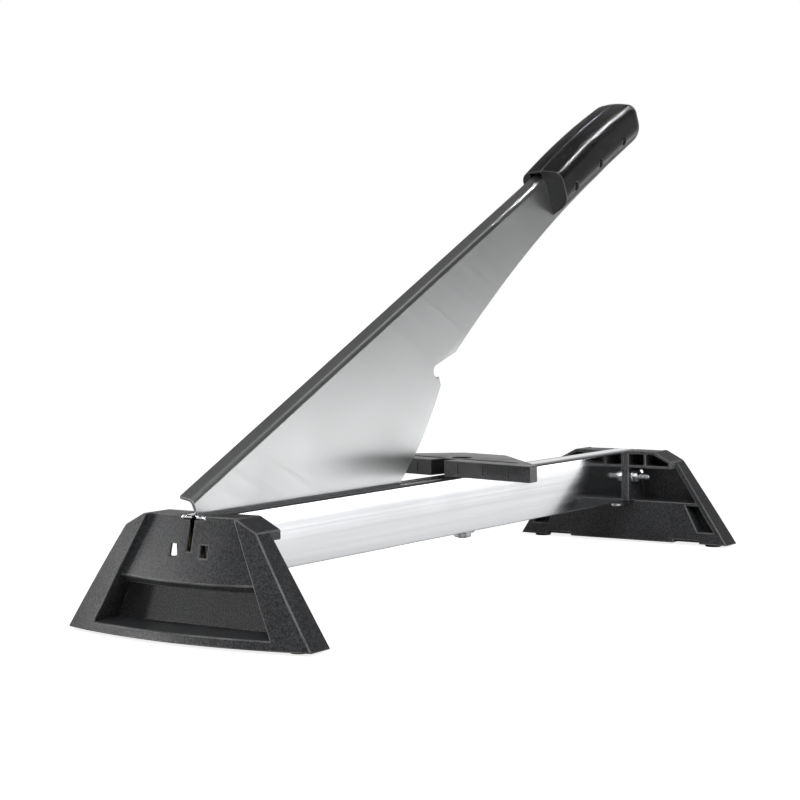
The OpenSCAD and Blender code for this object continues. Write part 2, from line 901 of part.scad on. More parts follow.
module fence_nut()
    color([0.75, 0.76, 0.77])
        translate([fence_x, 0, rail_base - washer - fence_nut_h])
            difference() {
                cylinder(d = 1.92 * fence_bolt_diameter, h = fence_nut_h, $fn = 6);
                translate([0, 0, -over])
                    cylinder(r = fence_bolt_diameter / 2 + bore_gap, h = fence_nut_h + 2 * over);
            }

module fence_glide()
    color([0.9, 0.9, 0.88])
        translate([fence_x, 0, rail_crest])
            difference() {
                cylinder(r = glide_r, h = glide);
                translate([0, 0, -over])
                    cylinder(r = fence_bolt_diameter / 2 + bolt_gap, h = glide + 2 * over);
            }

// Cross-section of the whole grip, square to the arm
module grip_section() {
    belly_n = grip_foot + grip_belly;
    waist_n = grip_foot + grip_waist;
    shoulder_n = grip_top - grip_edge;
    translate([0, belly_n])
        circle(r = grip_belly - blend);
    polygon([
        [-grip_belly, belly_n], [grip_belly, belly_n],
        [grip_half, waist_n], [grip_half, shoulder_n],
        [-grip_half, shoulder_n], [-grip_half, waist_n]
    ]);
    translate([grip_edge - grip_half, belly_n])
        square([grip_width - 2 * grip_edge, grip_top - belly_n]);
    for (side = [-1, 1])
        translate([side * (grip_half - grip_edge), shoulder_n])
            circle(r = grip_edge - blend);
}

// Side view of the grip, with an arched top and a rounded far end
module grip_profile() {
    end = grip_reach + grip_length;
    intersection() {
        translate([grip_reach + grip_length / 2, grip_top - grip_arch])
            circle(r = grip_arch, $fn = 256);
        union() {
            translate([grip_reach, grip_foot])
                square([grip_length - grip_chin, grip_height]);
            translate([grip_reach, grip_foot + grip_chin])
                square([grip_length, grip_height - grip_chin - grip_nose]);
            translate([grip_reach, grip_foot + grip_chin])
                square([grip_length - grip_nose, grip_height - grip_chin]);
            translate([end - grip_nose, grip_top - grip_nose])
                circle(r = grip_nose - blend);
            translate([end - grip_chin, grip_foot + grip_chin])
                circle(r = grip_chin - blend);
        }
    }
}

// Plan of the grip, with a rounded far end
module grip_plan() {
    round = grip_half - grip_blunt;
    end = grip_reach + grip_length;
    translate([grip_reach, -grip_half])
        square([grip_length - round, grip_width]);
    translate([grip_reach, round - grip_half])
        square([grip_length, grip_width - 2 * round]);
    for (side = [-1, 1])
        translate([end - round, side * (grip_half - round)])
            circle(r = round);
}

// One half of the grip between y0 and y1, with room for the tang, screws and nuts
module grip_half_shell(y0, y1) {
    room = sheet / 2 + fit_gap;
    difference() {
        intersection() {
            along_x(grip_reach, grip_reach + grip_length)
                grip_section();
            along_y(-far, far)
                grip_profile();
            translate([0, 0, grip_foot - over])
                linear_extrude(grip_height + 2 * over)
                    grip_plan();
            span([0, y0, -far], [2 * far, y1, far]);
        }
        span([grip_reach - over, -room, grip_foot - over],
            [tang_end + fit_gap, room, fold_n - 3 + fit_gap]);
        span([grip_reach - over, -room, grip_foot],
            [flange_end + fit_gap, flange_width, spine_rise + 2.2]);
        for (i = [0:2]) {
            x = grip_reach + grip_screw_start + i * grip_screw_step;
            bar_y(x, grip_screw_n, grip_screw / 2 + bolt_gap, -far / 2, far / 2);
            bar_y(x, grip_screw_n, grip_head / 2 + bolt_gap, -far / 2, grip_head_depth - grip_half);
            hex_y(x, grip_screw_n, grip_nut_r + bolt_gap, grip_half - grip_head_depth, far / 2);
        }
    }
}

module grip_left()
    color([0.07, 0.07, 0.07])
        on_arm()
            grip_half_shell(0, far);

module grip_right()
    color([0.07, 0.07, 0.07])
        on_arm()
            grip_half_shell(-far, 0);

module grip_screws()
    color([0.75, 0.76, 0.77])
        on_arm()
            for (i = [0:2]) {
                x = grip_reach + grip_screw_start + i * grip_screw_step;
                seat = grip_head_depth - grip_half;
                bar_y(x, grip_screw_n, grip_screw / 2, seat, grip_half - grip_head_depth + grip_nut_h);
                difference() {
                    bar_y(x, grip_screw_n, grip_head / 2, seat - grip_head_h, seat);
                    hex_y(x, grip_screw_n, grip_head / 4, seat - grip_head_h - over, seat - grip_head_h / 2);
                }
            }

module grip_nuts()
    color([0.75, 0.76, 0.77])
        on_arm()
            for (i = [0:2]) {
                x = grip_reach + grip_screw_start + i * grip_screw_step;
                seat = grip_half - grip_head_depth;
                difference() {
                    hex_y(x, grip_screw_n, grip_nut_r, seat, seat + grip_nut_h);
                    bar_y(x, grip_screw_n, grip_screw / 2 + bore_gap, 0, far / 2);
                }
            }

near_foot();
far_foot();
rubber_pads();
rail();
blade();
pivot_bolt();
pivot_bushes();
pivot_washers();
pivot_nut();
near_side_screws();
clamp_bolt();
clamp_washers();
clamp_nut();
clamp_spacer();
lug_screws();
lug_nuts();
fence();
fence_pointer();
fence_bolt();
fence_washers();
fence_nut();
fence_glide();
grip_left();
grip_right();
grip_screws();
grip_nuts();
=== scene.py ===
"""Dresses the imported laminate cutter: rounded mouldings, turned fasteners, finishes and a studio."""
import json
import math

import bmesh
import bpy
from bpy.props import FloatProperty, FloatVectorProperty, PointerProperty
from bpy.types import Operator, Panel, PropertyGroup
from mathutils import Matrix, Vector


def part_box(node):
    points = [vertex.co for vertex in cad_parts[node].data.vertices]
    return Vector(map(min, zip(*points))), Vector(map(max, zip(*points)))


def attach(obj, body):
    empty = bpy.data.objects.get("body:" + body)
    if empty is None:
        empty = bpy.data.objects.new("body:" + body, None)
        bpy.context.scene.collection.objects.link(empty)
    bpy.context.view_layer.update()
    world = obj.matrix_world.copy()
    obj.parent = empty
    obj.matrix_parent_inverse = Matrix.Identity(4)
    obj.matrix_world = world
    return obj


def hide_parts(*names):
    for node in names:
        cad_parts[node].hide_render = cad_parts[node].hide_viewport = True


bl_info = {
    "name": "Laminate cutter",
    "version": (1, 0, 0),
    "blender": (4, 5, 0),
    "location": "View3D > Sidebar > Cutter",
    "description": "Dresses the packed laminate cutter and sets up its studio",
    "category": "Object",
}

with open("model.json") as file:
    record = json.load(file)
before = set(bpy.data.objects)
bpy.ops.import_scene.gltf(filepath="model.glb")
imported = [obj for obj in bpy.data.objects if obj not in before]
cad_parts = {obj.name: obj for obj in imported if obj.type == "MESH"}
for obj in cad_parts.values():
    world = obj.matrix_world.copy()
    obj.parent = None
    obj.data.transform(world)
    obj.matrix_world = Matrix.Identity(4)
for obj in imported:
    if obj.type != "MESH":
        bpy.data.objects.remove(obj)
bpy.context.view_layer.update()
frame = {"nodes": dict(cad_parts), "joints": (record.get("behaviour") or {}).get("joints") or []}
MM = 0.001
JOINTS = {joint["name"]: joint for joint in frame["joints"]}
PIVOT = Vector(JOINTS["arm_pivot"]["pos_m"])
FENCE_AXIS = Vector(JOINTS["fence_swivel"]["pos_m"])
TURNED_SEGMENTS = 48
CRISP_ANGLE = math.radians(32.0)
FLAT_ANGLE = math.radians(0.4)
MERGE_GAP = 0.02 * MM
UP = Vector((0.0, 0.0, 1.0))
RIGHT = Vector((0.0, -1.0, 0.0))
LEFT = Vector((0.0, 1.0, 0.0))

# The camera, fitted to the photograph in the part's own frame
CAMERA_PLACE = Vector((-1.12667, -0.73515, 0.19842))
CAMERA_LOOK = Vector((0.8247, 0.5628, -0.0574))
CAMERA_RIGHT = Vector((0.5632, -0.8264, -0.0108))
CAMERA_LENS = 92.25

# Turned pieces: radii of shanks and of hexagons to their corners, heights of heads and of their domes
PIVOT_SHANK = 4.0 * MM
PIVOT_CORNER = 7.4 * MM
PIVOT_HEAD = 5.0 * MM
CLAMP_SHANK = 2.5 * MM
CLAMP_CORNER = 4.6 * MM
CLAMP_HEAD = 3.5 * MM
FENCE_SHANK = 3.0 * MM
FENCE_HEAD = 3.6 * MM
SCREW_SHANK = 2.0 * MM
GRIP_HEAD = 2.4 * MM
GRIP_DOME = 0.3 * MM
RAIL_HEAD = 2.6 * MM
RAIL_DOME = 0.7 * MM

# Ends of threads as shares of the core's radius: length of the lead, radius of the end, run without thread
PIVOT_POINT = (1 / 4, 0.75, 0.0)
CLAMP_POINT = (1 / 3, 0.7, 1 / 4)

# Sizes and places inside a node's box: the bushes and side screws are measured from the blade's plane
WASHER_THICK = 1.2 * MM
FENCE_TOP_WASHER = 6.5 * MM
BUSH_START = 1.3 * MM
SIDE_SCREW_END = 7.5 * MM
MARK_EDGE = 0.2 * MM

# The grip's skin: steps of its outline and of its length, and shares that shape its belly and its far end
GRIP_ARCH = 2.6 * MM
CROWN_STEPS = 5
EDGE_STEPS = 8
BELLY_STEPS = 16
BODY_STEPS = 16
NOSE_STEPS = 10
WAIST_HEIGHT = 0.5
BELLY_HOLD = 0.62
BELLY_WIDTH = 0.5
BELLY_LIFT = 0.3
NOSE_POWER = 2.2
NOSE_DROP = 0.24
NOSE_RISE = 0.46
NOSE_TAPER = 0.5

# The room inside the grip for the tang, for the end of the blade's flange and for the screws
GRIP_SCREWS = 3
TANG_ROOM = 1.15 * MM
TANG_END_GAP = 0.2 * MM
TANG_DROP = 6.8 * MM
POCKET_LENGTH = 12.2 * MM
POCKET_WIDTH = 9.6 * MM
POCKET_DEPTH = 12 * MM
POCKET_GAP = 2.2 * MM
HOLE_GAP = 0.15 * MM
HOLE_REACH = 30 * MM
OVERCUT = 1 * MM

# The pads, with the rings of their tread as shares of the radius and of the groove's depth
PAD_RADIUS = 6.0 * MM
PAD_EDGE = 0.5 * MM
PAD_GROOVE = 0.4 * MM
PAD_TREAD = ((0.45, 1), (0.5, 0), (0.72, 0), (0.77, 1), (0.82, 0))

# Finishes: where most of a noise's values lie, scales, and ranges as from, to, value before, value after
NOISE_SPAN = (0.3, 0.7)
CELL_SHARE = 0.8
DRIFT_SCALE = 38.0
CLOUD_SCALE = 14.0
BROAD_LINES = 0.17
FLECK = (0.38, 0.66, 0.5, 1.8)
# Painted highlight on rounded edges: its patches, as such a range, and how far it pales the colour towards
# white
HIGHLIGHT_PATCH = (0.35, 0.6, 0.35, 1.0)
HIGHLIGHT_PALENESS = 0.25
WHITE = (1.0, 1.0, 1.0, 1.0)
FINISH_OUTPUTS = {"Colour": "NodeSocketColor", "Roughness": "NodeSocketFloat", "Height": "NodeSocketFloat"}

# The floor's tones where metal mirrors it, across the rail, and its glow by distance, as such ranges
FLOOR_REACH = 12.0
FLOOR_NEAR = (-0.06, -0.16, 0.15, 0.84)
FLOOR_OPEN = (-0.34, -0.58, 0.0, 4.2)
FLOOR_FADE = (-0.58, -0.75, 1.0, 0.02)
FLOOR_LEFT = (0.09, 0.2, 0.0, 0.5)
FLOOR_GLOW = (0.6, 1.6, 0.85, 1.0)

# The sides of the world that metal mirrors dark, by one axis of the direction, and the world's strengths
WORLD_RIGHT = (0.15, -0.35, 0.0, 1.0)
WORLD_ABOVE = (-0.01, 0.05, 0.0, 1.0)
WORLD_ROOF = (0.22, 0.52, 0.0, 0.92)
WORLD_FRONT = (0.2, -0.25, 0.0, 1.0)
MIRRORED_BAND = 0.8
MIRRORED_DARK = 0.04
WORLD_DIFFUSE = 0.14


def length_setting(name, description, default, low, high):
    """A length that a user can change, given in millimetres."""
    return FloatProperty(name=name, description=description, default=default * MM, min=low * MM,
                         max=high * MM, unit="LENGTH")


def colour_setting(name, description, default):
    """A colour that a user can change."""
    return FloatVectorProperty(name=name, description=description, default=default, size=3, min=0, max=1,
                               subtype="COLOR")


class CutterSizes(PropertyGroup):
    """Sizes of the finishing details."""

    foot_edge: length_setting("Foot edge", "Radius on the edges of the feet", 0.8, 0.1, 1.2)
    fence_edge: length_setting("Fence edge", "Radius on the edges of the fence", 0.45, 0.1, 0.8)
    sheet_edge: length_setting("Sheet edge", "Radius on the edges of the blade's sheet", 0.3, 0.05, 0.6)
    rail_edge: length_setting("Rail edge", "Radius on the edges of the rail", 0.5, 0.05, 0.6)
    grip_edge: length_setting("Grip edge", "Radius of the grip's upper edges", 7.5, 4, 10)
    grip_crown: length_setting("Grip crown", "Rise of the grip's top between its upper edges", 0.9, 0, 2)
    grip_nose: length_setting("Grip nose", "Length of the rounding at the grip's far end", 13, 8, 20)
    seam_edge: length_setting("Seam edge", "Radius on the rims and seams of the grip", 0.45, 0.1, 0.8)
    turned_edge: length_setting("Fastener edge", "Chamfer on bolts, nuts and washers", 0.35, 0.1, 0.6)
    clamp_pitch: length_setting("Clamp thread", "Pitch of the clamp bolt's thread", 0.8, 0.5, 1.2)
    coarse_pitch: length_setting("Coarse thread", "Pitch of the pivot bolt's thread", 1.0, 0.5, 1.5)
    arm_tilt: FloatProperty(
        name="Arm tilt", description="Angle of the arm at rest, which the brushing follows",
        default=math.radians(26.2), subtype="ANGLE")


class CutterColours(PropertyGroup):
    """Base colours of the finishes, by their names."""

    foot_plastic: colour_setting("Feet", "Moulded plastic of the feet", (0.046, 0.047, 0.05))
    fence_plastic: colour_setting("Fence", "Moulded plastic of the fence", (0.02, 0.02, 0.022))
    grip_plastic: colour_setting("Grip", "Smooth plastic of the grip", (0.014, 0.014, 0.015))
    pad_rubber: colour_setting("Pads", "Rubber of the pads", (0.02, 0.02, 0.02))
    rail_aluminium: colour_setting("Rail", "Bright drawn aluminium of the rail", (0.86, 0.87, 0.89))
    blade_steel: colour_setting("Blade", "Brushed steel of the blade", (0.74, 0.75, 0.755))
    zinc_steel: colour_setting("Zinc", "Bright zinc on bolts, nuts and washers", (0.78, 0.79, 0.8))
    bush_brass: colour_setting("Bushes", "Brass of the pivot bushes", (0.72, 0.53, 0.22))
    black_steel: colour_setting("Fence bolt", "Blackened steel of the fence bolt", (0.1, 0.1, 0.105))
    glide_plastic: colour_setting("Glide", "Pale plastic disc under the fence", (0.75, 0.74, 0.7))
    pointer_red: colour_setting("Pointer", "Red index mark on the fence", (0.75, 0.05, 0.02))


def sizes():
    """The detail sizes of this scene."""
    return bpy.context.scene.cutter_sizes


def colours():
    """The colours of this scene."""
    return bpy.context.scene.cutter_colours


# Shader groups

def new_group(name, inputs):
    """An empty shader group with inputs {name: default} and a finish's outputs, and its input sockets."""
    group = bpy.data.node_groups.new(name, "ShaderNodeTree")
    for label, default in inputs.items():
        coloured = isinstance(default, tuple)
        kind = "NodeSocketColor" if coloured else "NodeSocketFloat"
        socket = group.interface.new_socket(label, in_out="INPUT", socket_type=kind)
        socket.default_value = (*default, 1.0) if coloured else default
    for label, kind in FINISH_OUTPUTS.items():
        group.interface.new_socket(label, in_out="OUTPUT", socket_type=kind)
    return group, group.nodes.new("NodeGroupInput").outputs


def end_group(group, **outputs):
    """The group with its outputs linked."""
    leave = group.nodes.new("NodeGroupOutput")
    for label, value in outputs.items():
        group.links.new(value, leave.inputs[label])
    return group


def add(tree, kind, settings=None, **inputs):
    """A node with properties from settings and input values or links from inputs, by socket name."""
    node = tree.nodes.new(kind)
    for key, value in (settings or {}).items():
        setattr(node, key, value)
    for key, value in inputs.items():
        by_number = key[0] == "i" and key[1:].isdigit()
        socket = node.inputs[int(key[1:]) if by_number else key.replace("_", " ")]
        if isinstance(value, bpy.types.NodeSocket):
            tree.links.new(value, socket)
        else:
            socket.default_value = value
    return node


def arithmetic(tree, operation, first, second):
    """The result socket of one Math node."""
    return add(tree, "ShaderNodeMath", {"operation": operation}, i0=first, i1=second).outputs[0]


def remap(tree, value, low, high, to_low, to_high):
    """The result socket of a clamped Map Range node."""
    node = add(tree, "ShaderNodeMapRange", None, Value=value, From_Min=low, From_Max=high, To_Min=to_low,
               To_Max=to_high)
    return node.outputs["Result"]


def noise(tree, place, scale, detail):
    """The value socket of a noise texture."""
    return add(tree, "ShaderNodeTexNoise", None, Vector=place, Scale=scale, Detail=detail).outputs[0]


def mix_colour(tree, factor, first, second, blend="MIX"):
    """The colour socket of a Mix node."""
    settings = {"data_type": "RGBA", "blend_type": blend}
    return add(tree, "ShaderNodeMix", settings, i0=factor, i6=first, i7=second).outputs[2]


def tinted(tree, colour, tint):
    """The colour socket of a colour times a value."""
    grey = add(tree, "ShaderNodeCombineColor", None, Red=tint, Green=tint, Blue=tint).outputs[0]
    return mix_colour(tree, 1.0, colour, grey, "MULTIPLY")


def moulded_grain():
    """Spark-eroded grain of moulded plastic, with slow colour drift and painted highlights on its rounded
    edges.
    """
    group, entry = new_group("moulded_grain", {
        "Colour": (0.03, 0.03, 0.03), "Grain": 1300.0, "Drift": 0.25, "Rub": 0.5, "Roughness": 0.5})
    place = add(group, "ShaderNodeTexCoord").outputs["Object"]
    grain = noise(group, place, entry["Grain"], 3.0)
    cell_scale = arithmetic(group, "MULTIPLY", entry["Grain"], CELL_SHARE)
    cells = add(group, "ShaderNodeTexVoronoi", {"feature": "SMOOTH_F1"}, Vector=place, Scale=cell_scale)
    height = arithmetic(group, "ADD", grain, arithmetic(group, "MULTIPLY", cells.outputs[0], CELL_SHARE))
    drift = noise(group, place, DRIFT_SCALE, 4.0)
    lift = remap(group, drift, *NOISE_SPAN, 1.0, arithmetic(group, "ADD", 1.0, entry["Drift"]))
    fleck = remap(group, grain, *FLECK)
    body = tinted(group, entry["Colour"], arithmetic(group, "MULTIPLY", lift, fleck))
    # Painted highlight: the rounded outer edges are mixed in patches towards white, as if light caught them
    edge = add(group, "ShaderNodeAttribute", {"attribute_name": "edge"}).outputs["Fac"]
    highlight_patch = remap(group, drift, *HIGHLIGHT_PATCH)
    edge_highlight = arithmetic(group, "MULTIPLY", arithmetic(group, "MULTIPLY", edge, highlight_patch), entry["Rub"])
    highlighted = mix_colour(group, edge_highlight, body, mix_colour(group, HIGHLIGHT_PALENESS, body, WHITE))
    sheen = remap(group, drift, *NOISE_SPAN, -0.05, 0.07)
    rough = arithmetic(group, "ADD", entry["Roughness"], sheen)
    return end_group(group, Colour=highlighted, Roughness=rough, Height=height)


def drawn_lines():
    """Fine lines of drawn or brushed metal along X, turned about Y, with a slowly clouded sheen."""
    group, entry = new_group("drawn_lines", {
        "Colour": (0.8, 0.8, 0.8), "Lines": 900.0, "Stretch": 0.01, "Contrast": 0.1, "Roughness": 0.25,
        "Turn": 0.0})
    place = add(group, "ShaderNodeTexCoord").outputs["Object"]
    spun = add(group, "ShaderNodeVectorRotate", {"rotation_type": "Y_AXIS"}, Vector=place,
               Angle=entry["Turn"])
    stretch = add(group, "ShaderNodeCombineXYZ", None, X=entry["Stretch"], Y=1.0, Z=1.0)
    lined = add(group, "ShaderNodeVectorMath", {"operation": "MULTIPLY"}, i0=spun.outputs[0],
                i1=stretch.outputs[0]).outputs[0]
    fine = noise(group, lined, entry["Lines"], 4.0)
    broad = noise(group, lined, arithmetic(group, "MULTIPLY", entry["Lines"], BROAD_LINES), 3.0)
    cloud = noise(group, place, CLOUD_SCALE, 3.0)
    streak = arithmetic(group, "MULTIPLY", arithmetic(group, "ADD", fine, broad), 0.5)
    shade = arithmetic(group, "MULTIPLY", arithmetic(group, "SUBTRACT", streak, 0.5), entry["Contrast"])
    colour = tinted(group, entry["Colour"], arithmetic(group, "ADD", 1.0, shade))
    line_sheen = remap(group, streak, *NOISE_SPAN, -0.03, 0.05)
    cloud_sheen = remap(group, cloud, *NOISE_SPAN, -0.03, 0.04)
    rough = arithmetic(group, "ADD", entry["Roughness"], arithmetic(group, "ADD", line_sheen, cloud_sheen))
    return end_group(group, Colour=colour, Roughness=rough, Height=fine)


def made(maker):
    """The node tree that a function makes and that has the function's name, made at its first use."""
    return bpy.data.node_groups.get(maker.__name__) or maker()


def finish_material(name, maker, bump, depth, settings, values):
    """A Principled material in the colour of its name, fed by one shader group that has those values."""
    label = name + "_finish"
    found = bpy.data.materials.get(label)
    if found:
        return found
    material = bpy.data.materials.new(label)
    material.use_nodes = True
    tree = material.node_tree
    shader = tree.nodes["Principled BSDF"]
    colour = (*getattr(colours(), name), 1.0)
    group = add(tree, "ShaderNodeGroup", {"node_tree": made(maker)}, Colour=colour, **values)
    relief = add(tree, "ShaderNodeBump", None, Strength=bump, Distance=depth,
                 Height=group.outputs["Height"])
    tree.links.new(group.outputs["Colour"], shader.inputs["Base Color"])
    tree.links.new(group.outputs["Roughness"], shader.inputs["Roughness"])
    tree.links.new(relief.outputs[0], shader.inputs["Normal"])
    for key, value in settings.items():
        shader.inputs[key].default_value = value
    return material


def moulded(name, bump, depth, specular=0.5, **values):
    """A finish with the grain of a mould."""
    return finish_material(name, moulded_grain, bump, depth, {"Specular IOR Level": specular}, values)


def drawn(name, bump, depth, metallic=1.0, **values):
    """A metal finish with fine lines."""
    return finish_material(name, drawn_lines, bump, depth, {"Metallic": metallic}, values)


# Each plastic's edge value sets how strongly its rounded edges are painted lighter as a highlight
def foot_plastic():
    """Coarse-grained dark plastic of the feet."""
    return moulded("foot_plastic", bump=0.4, depth=0.16 * MM, Grain=950.0, Drift=0.25, Rub=0.7,
                   Roughness=0.38)


def fence_plastic():
    """Fine-grained dark plastic of the fence."""
    return moulded("fence_plastic", bump=0.2, depth=0.15 * MM, Grain=1700.0, Drift=0.2, Rub=0.4,
                   Roughness=0.3)


def grip_plastic():
    """Smooth black plastic of the grip."""
    return moulded("grip_plastic", bump=0.3, depth=0.1 * MM, Grain=1600.0, Drift=0.2, Rub=0.7,
                   Roughness=0.34)


def pad_rubber():
    """Dull rubber of the pads."""
    return moulded("pad_rubber", bump=0.2, depth=0.15 * MM, specular=0.35, Grain=1600.0, Drift=0.4,
                   Rub=0.2, Roughness=0.75)


def glide_plastic():
    """Pale slippery plastic of the disc under the fence."""
    return moulded("glide_plastic", bump=0.08, depth=0.1 * MM, Grain=2400.0, Drift=0.05, Rub=0.0,
                   Roughness=0.35)


def pointer_red():
    """Red plastic of the index mark."""
    return moulded("pointer_red", bump=0.08, depth=0.1 * MM, Grain=2400.0, Drift=0.1, Rub=0.0,
                   Roughness=0.4)


def rail_aluminium():
    """Bright drawn aluminium, lined along the rail."""
    return drawn("rail_aluminium", bump=0.05, depth=0.05 * MM, Lines=420.0, Stretch=0.006, Contrast=0.4,
                 Roughness=0.1)


def blade_steel():
    """Brushed steel, lined along the arm."""
    return drawn("blade_steel", bump=0.03, depth=0.04 * MM, Lines=1500.0, Stretch=0.02, Contrast=0.08,
                 Roughness=0.33, Turn=-sizes().arm_tilt)


def zinc_steel():
    """Bright zinc plating."""
    return drawn("zinc_steel", bump=0.05, depth=0.05 * MM, Lines=700.0, Stretch=1.0, Contrast=0.15,
                 Roughness=0.27)


def bush_brass():
    """Turned brass."""
    return drawn("bush_brass", bump=0.05, depth=0.05 * MM, Lines=700.0, Stretch=1.0, Contrast=0.15,
                 Roughness=0.3)


def black_steel():
    """Blackened steel."""
    return drawn("black_steel", bump=0.05, depth=0.05 * MM, metallic=0.8, Lines=700.0, Stretch=1.0,
                 Contrast=0.2, Roughness=0.42)


# Mesh helpers

def new_piece(name, mesh, body, slot, material, *nodes):
    """A finished piece at the origin that rides on a body and stands for the given nodes."""
    piece = bpy.data.objects.new(name, mesh)
    bpy.context.scene.collection.objects.link(piece)
    mesh.materials.clear()
    mesh.materials.append(material)
    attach(piece, body)
    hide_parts(*nodes)


def zinc_piece(node, mesh, body="base"):
    """A finished zinc-plated piece that stands for a node."""
    new_piece(node + "_turned", mesh, body, "zinc_steel", zinc_steel(), node)


def merged_copy(node):
    """The node's mesh with its loose triangles merged and its flat faces joined."""
    mesh = frame["nodes"][node].data.copy()
    shape = bmesh.new()
    shape.from_mesh(mesh)
    bmesh.ops.remove_doubles(shape, verts=shape.verts, dist=MERGE_GAP)
    bmesh.ops.dissolve_degenerate(shape, edges=shape.edges, dist=MERGE_GAP)
    bmesh.ops.dissolve_limit(shape, angle_limit=FLAT_ANGLE, verts=shape.verts, edges=shape.edges)
    bmesh.ops.triangulate(shape, faces=[face for face in shape.faces if len(face.verts) > 4])
    shape.to_mesh(mesh)
    shape.free()
    for name in [layer.name for layer in mesh.uv_layers]:
        mesh.uv_layers.remove(mesh.uv_layers[name])
    return mesh


def held(mesh):
    """A passing object that carries a mesh while modifiers work on it."""
    holder = bpy.data.objects.new("holder", mesh)
    bpy.context.scene.collection.objects.link(holder)
    return holder


def settled(holder, *others):
    """The plain mesh that a holder's modifiers give; the holder and its helpers are removed."""
    scene_graph = bpy.context.evaluated_depsgraph_get()
    mesh = bpy.data.meshes.new_from_object(holder.evaluated_get(scene_graph))
    for item in (holder, *others):
        bpy.data.objects.remove(item)
    return mesh


def cut(mesh, cutters):
    """The mesh with the cutters' volumes taken away."""
    holder = held(mesh)
    tools = [held(cutter) for cutter in cutters]
    for tool in tools:
        boolean = holder.modifiers.new("Cut", "BOOLEAN")
        boolean.operation = "DIFFERENCE"
        boolean.solver = "EXACT"
        boolean.object = tool
    return settled(holder, *tools)


def mesh_of(shape, name):
    """The mesh that a bmesh gives; the bmesh is freed."""
    mesh = bpy.data.meshes.new(name)
    shape.to_mesh(mesh)
    shape.free()
    return mesh


def joined(*meshes):
    """Several meshes as one."""
    shape = bmesh.new()
    for mesh in meshes:
        shape.from_mesh(mesh)
    return mesh_of(shape, "joined")


def block(low, high):
    """A box between two corners, as a cutter."""
    shape = bmesh.new()
    bmesh.ops.create_cube(shape, size=1.0)
    span = Vector(high) - Vector(low)
    middle = (Vector(high) + Vector(low)) / 2
    place = Matrix.Translation(middle) @ Matrix.Diagonal((*span, 1.0))
    bmesh.ops.transform(shape, matrix=place, verts=shape.verts)
    return mesh_of(shape, "block")


def ring(radius, height, sides=0):
    """One ring of a turned shape: round, or a polygon with that many sides, measured to its corners."""
    points = []
    for step in range(TURNED_SEGMENTS):
        angle = 2 * math.pi * step / TURNED_SEGMENTS
        reach = radius
        if sides:
            half = math.pi / sides
            reach = radius * math.cos(half) / math.cos(angle % (2 * half) - half)
        points.append((reach * math.cos(angle), reach * math.sin(angle), height))
    return points


def lofted(name, rings, bored=False):
    """A mesh through rings of points, with closed ends; a bored one joins its last ring to its first."""
    shape = bmesh.new()
    loops = [[shape.verts.new(point) for point in one] for one in rings]
    pairs = list(zip(loops, loops[1:]))
    if bored:
        pairs.append((loops[-1], loops[0]))
    for first, second in pairs:
        for here in range(len(first)):
            there = (here + 1) % len(first)
            shape.faces.new((first[here], first[there], second[there], second[here]))
    if not bored:
        shape.faces.new(loops[0])
        shape.faces.new(loops[-1])
    bmesh.ops.recalc_face_normals(shape, faces=shape.faces)
    return mesh_of(shape, name)


def along(origin, axis):
    """From the frame of a shape that stands on nought along Z to its place along an axis."""
    return Matrix.Translation(origin) @ Vector(axis).to_track_quat("Z", "Y").to_matrix().to_4x4()


def turned(rings, origin=(0, 0, 0), axis=UP, bored=False):
    """A mesh lofted through rings, each given as for ring, along an axis."""
    mesh = lofted("turned", [ring(*one) for one in rings], bored)
    mesh.transform(along(origin, axis))
    return crisp(mesh)


def crisp(mesh):
    """Shades a mesh smooth but for its sharp edges."""
    mesh.shade_smooth()
    mesh.set_sharp_from_angle(angle=CRISP_ANGLE)
    return mesh


def washer_rings(outer, bore, thick):
    """Rings of a flat washer, disc or tube that stands on nought."""
    edge = min(sizes().turned_edge, thick / 4)
    return [(bore, 0), (outer - edge, 0), (outer, edge), (outer, thick - edge), (outer - edge, thick),
            (bore, thick)]


def nut_rings(corner, bore, thick):
    """Rings of a chamfered hexagon nut that stands on nought."""
    edge = 1.5 * sizes().turned_edge
    flat = corner * math.cos(math.pi / 6)
    lead = bore + sizes().turned_edge
    return [(bore, edge), (lead, 0), (flat, 0), (corner, edge, 6), (corner, thick - edge, 6), (flat, thick),
            (lead, thick), (bore, thick - edge)]


def hex_bolt_rings(corner, head, shank, length):
    """Rings of a hexagon bolt, from the top of its head at nought to its tip."""
    edge = 1.5 * sizes().turned_edge
    flat = corner * math.cos(math.pi / 6)
    return [(flat * 0.5, 0), (flat, 0), (corner, edge, 6), (corner, head, 6), (shank, head),
            (shank, length - edge), (shank - edge, length)]


def socket_screw_rings(outer, head, shank, length, dome=0.0):
    """Rings of a screw with a hexagon socket, from the top of its head at nought to its tip."""
    edge = sizes().turned_edge
    socket = outer / 2
    return [(socket, head / 2, 6), (socket, 0, 6), (outer * 0.75, dome * 0.25), (outer - edge, dome),
            (outer, dome + edge), (outer, head), (shank, head), (shank, length - edge),
            (shank - edge, length)]


# Geometry node trees

def new_tree(name, inputs):
    """An empty geometry tree with inputs {name: socket type} and one output, and its input sockets."""
    tree = bpy.data.node_groups.new(name, "GeometryNodeTree")
    for label, kind in inputs.items():
        tree.interface.new_socket(label, in_out="INPUT", socket_type=kind)
    tree.interface.new_socket("Geometry", in_out="OUTPUT", socket_type="NodeSocketGeometry")
    return tree, tree.nodes.new("NodeGroupInput").outputs


def end_tree(tree, entry, geometry):
    """The tree, closed with Realize Instances and Set Material."""
    real = add(tree, "GeometryNodeRealizeInstances", None, Geometry=geometry)
    dressed = add(tree, "GeometryNodeSetMaterial", None, Geometry=real.outputs[0],
                  Material=entry["Material"])
    tree.links.new(dressed.outputs[0], tree.nodes.new("NodeGroupOutput").inputs[0])
    return tree


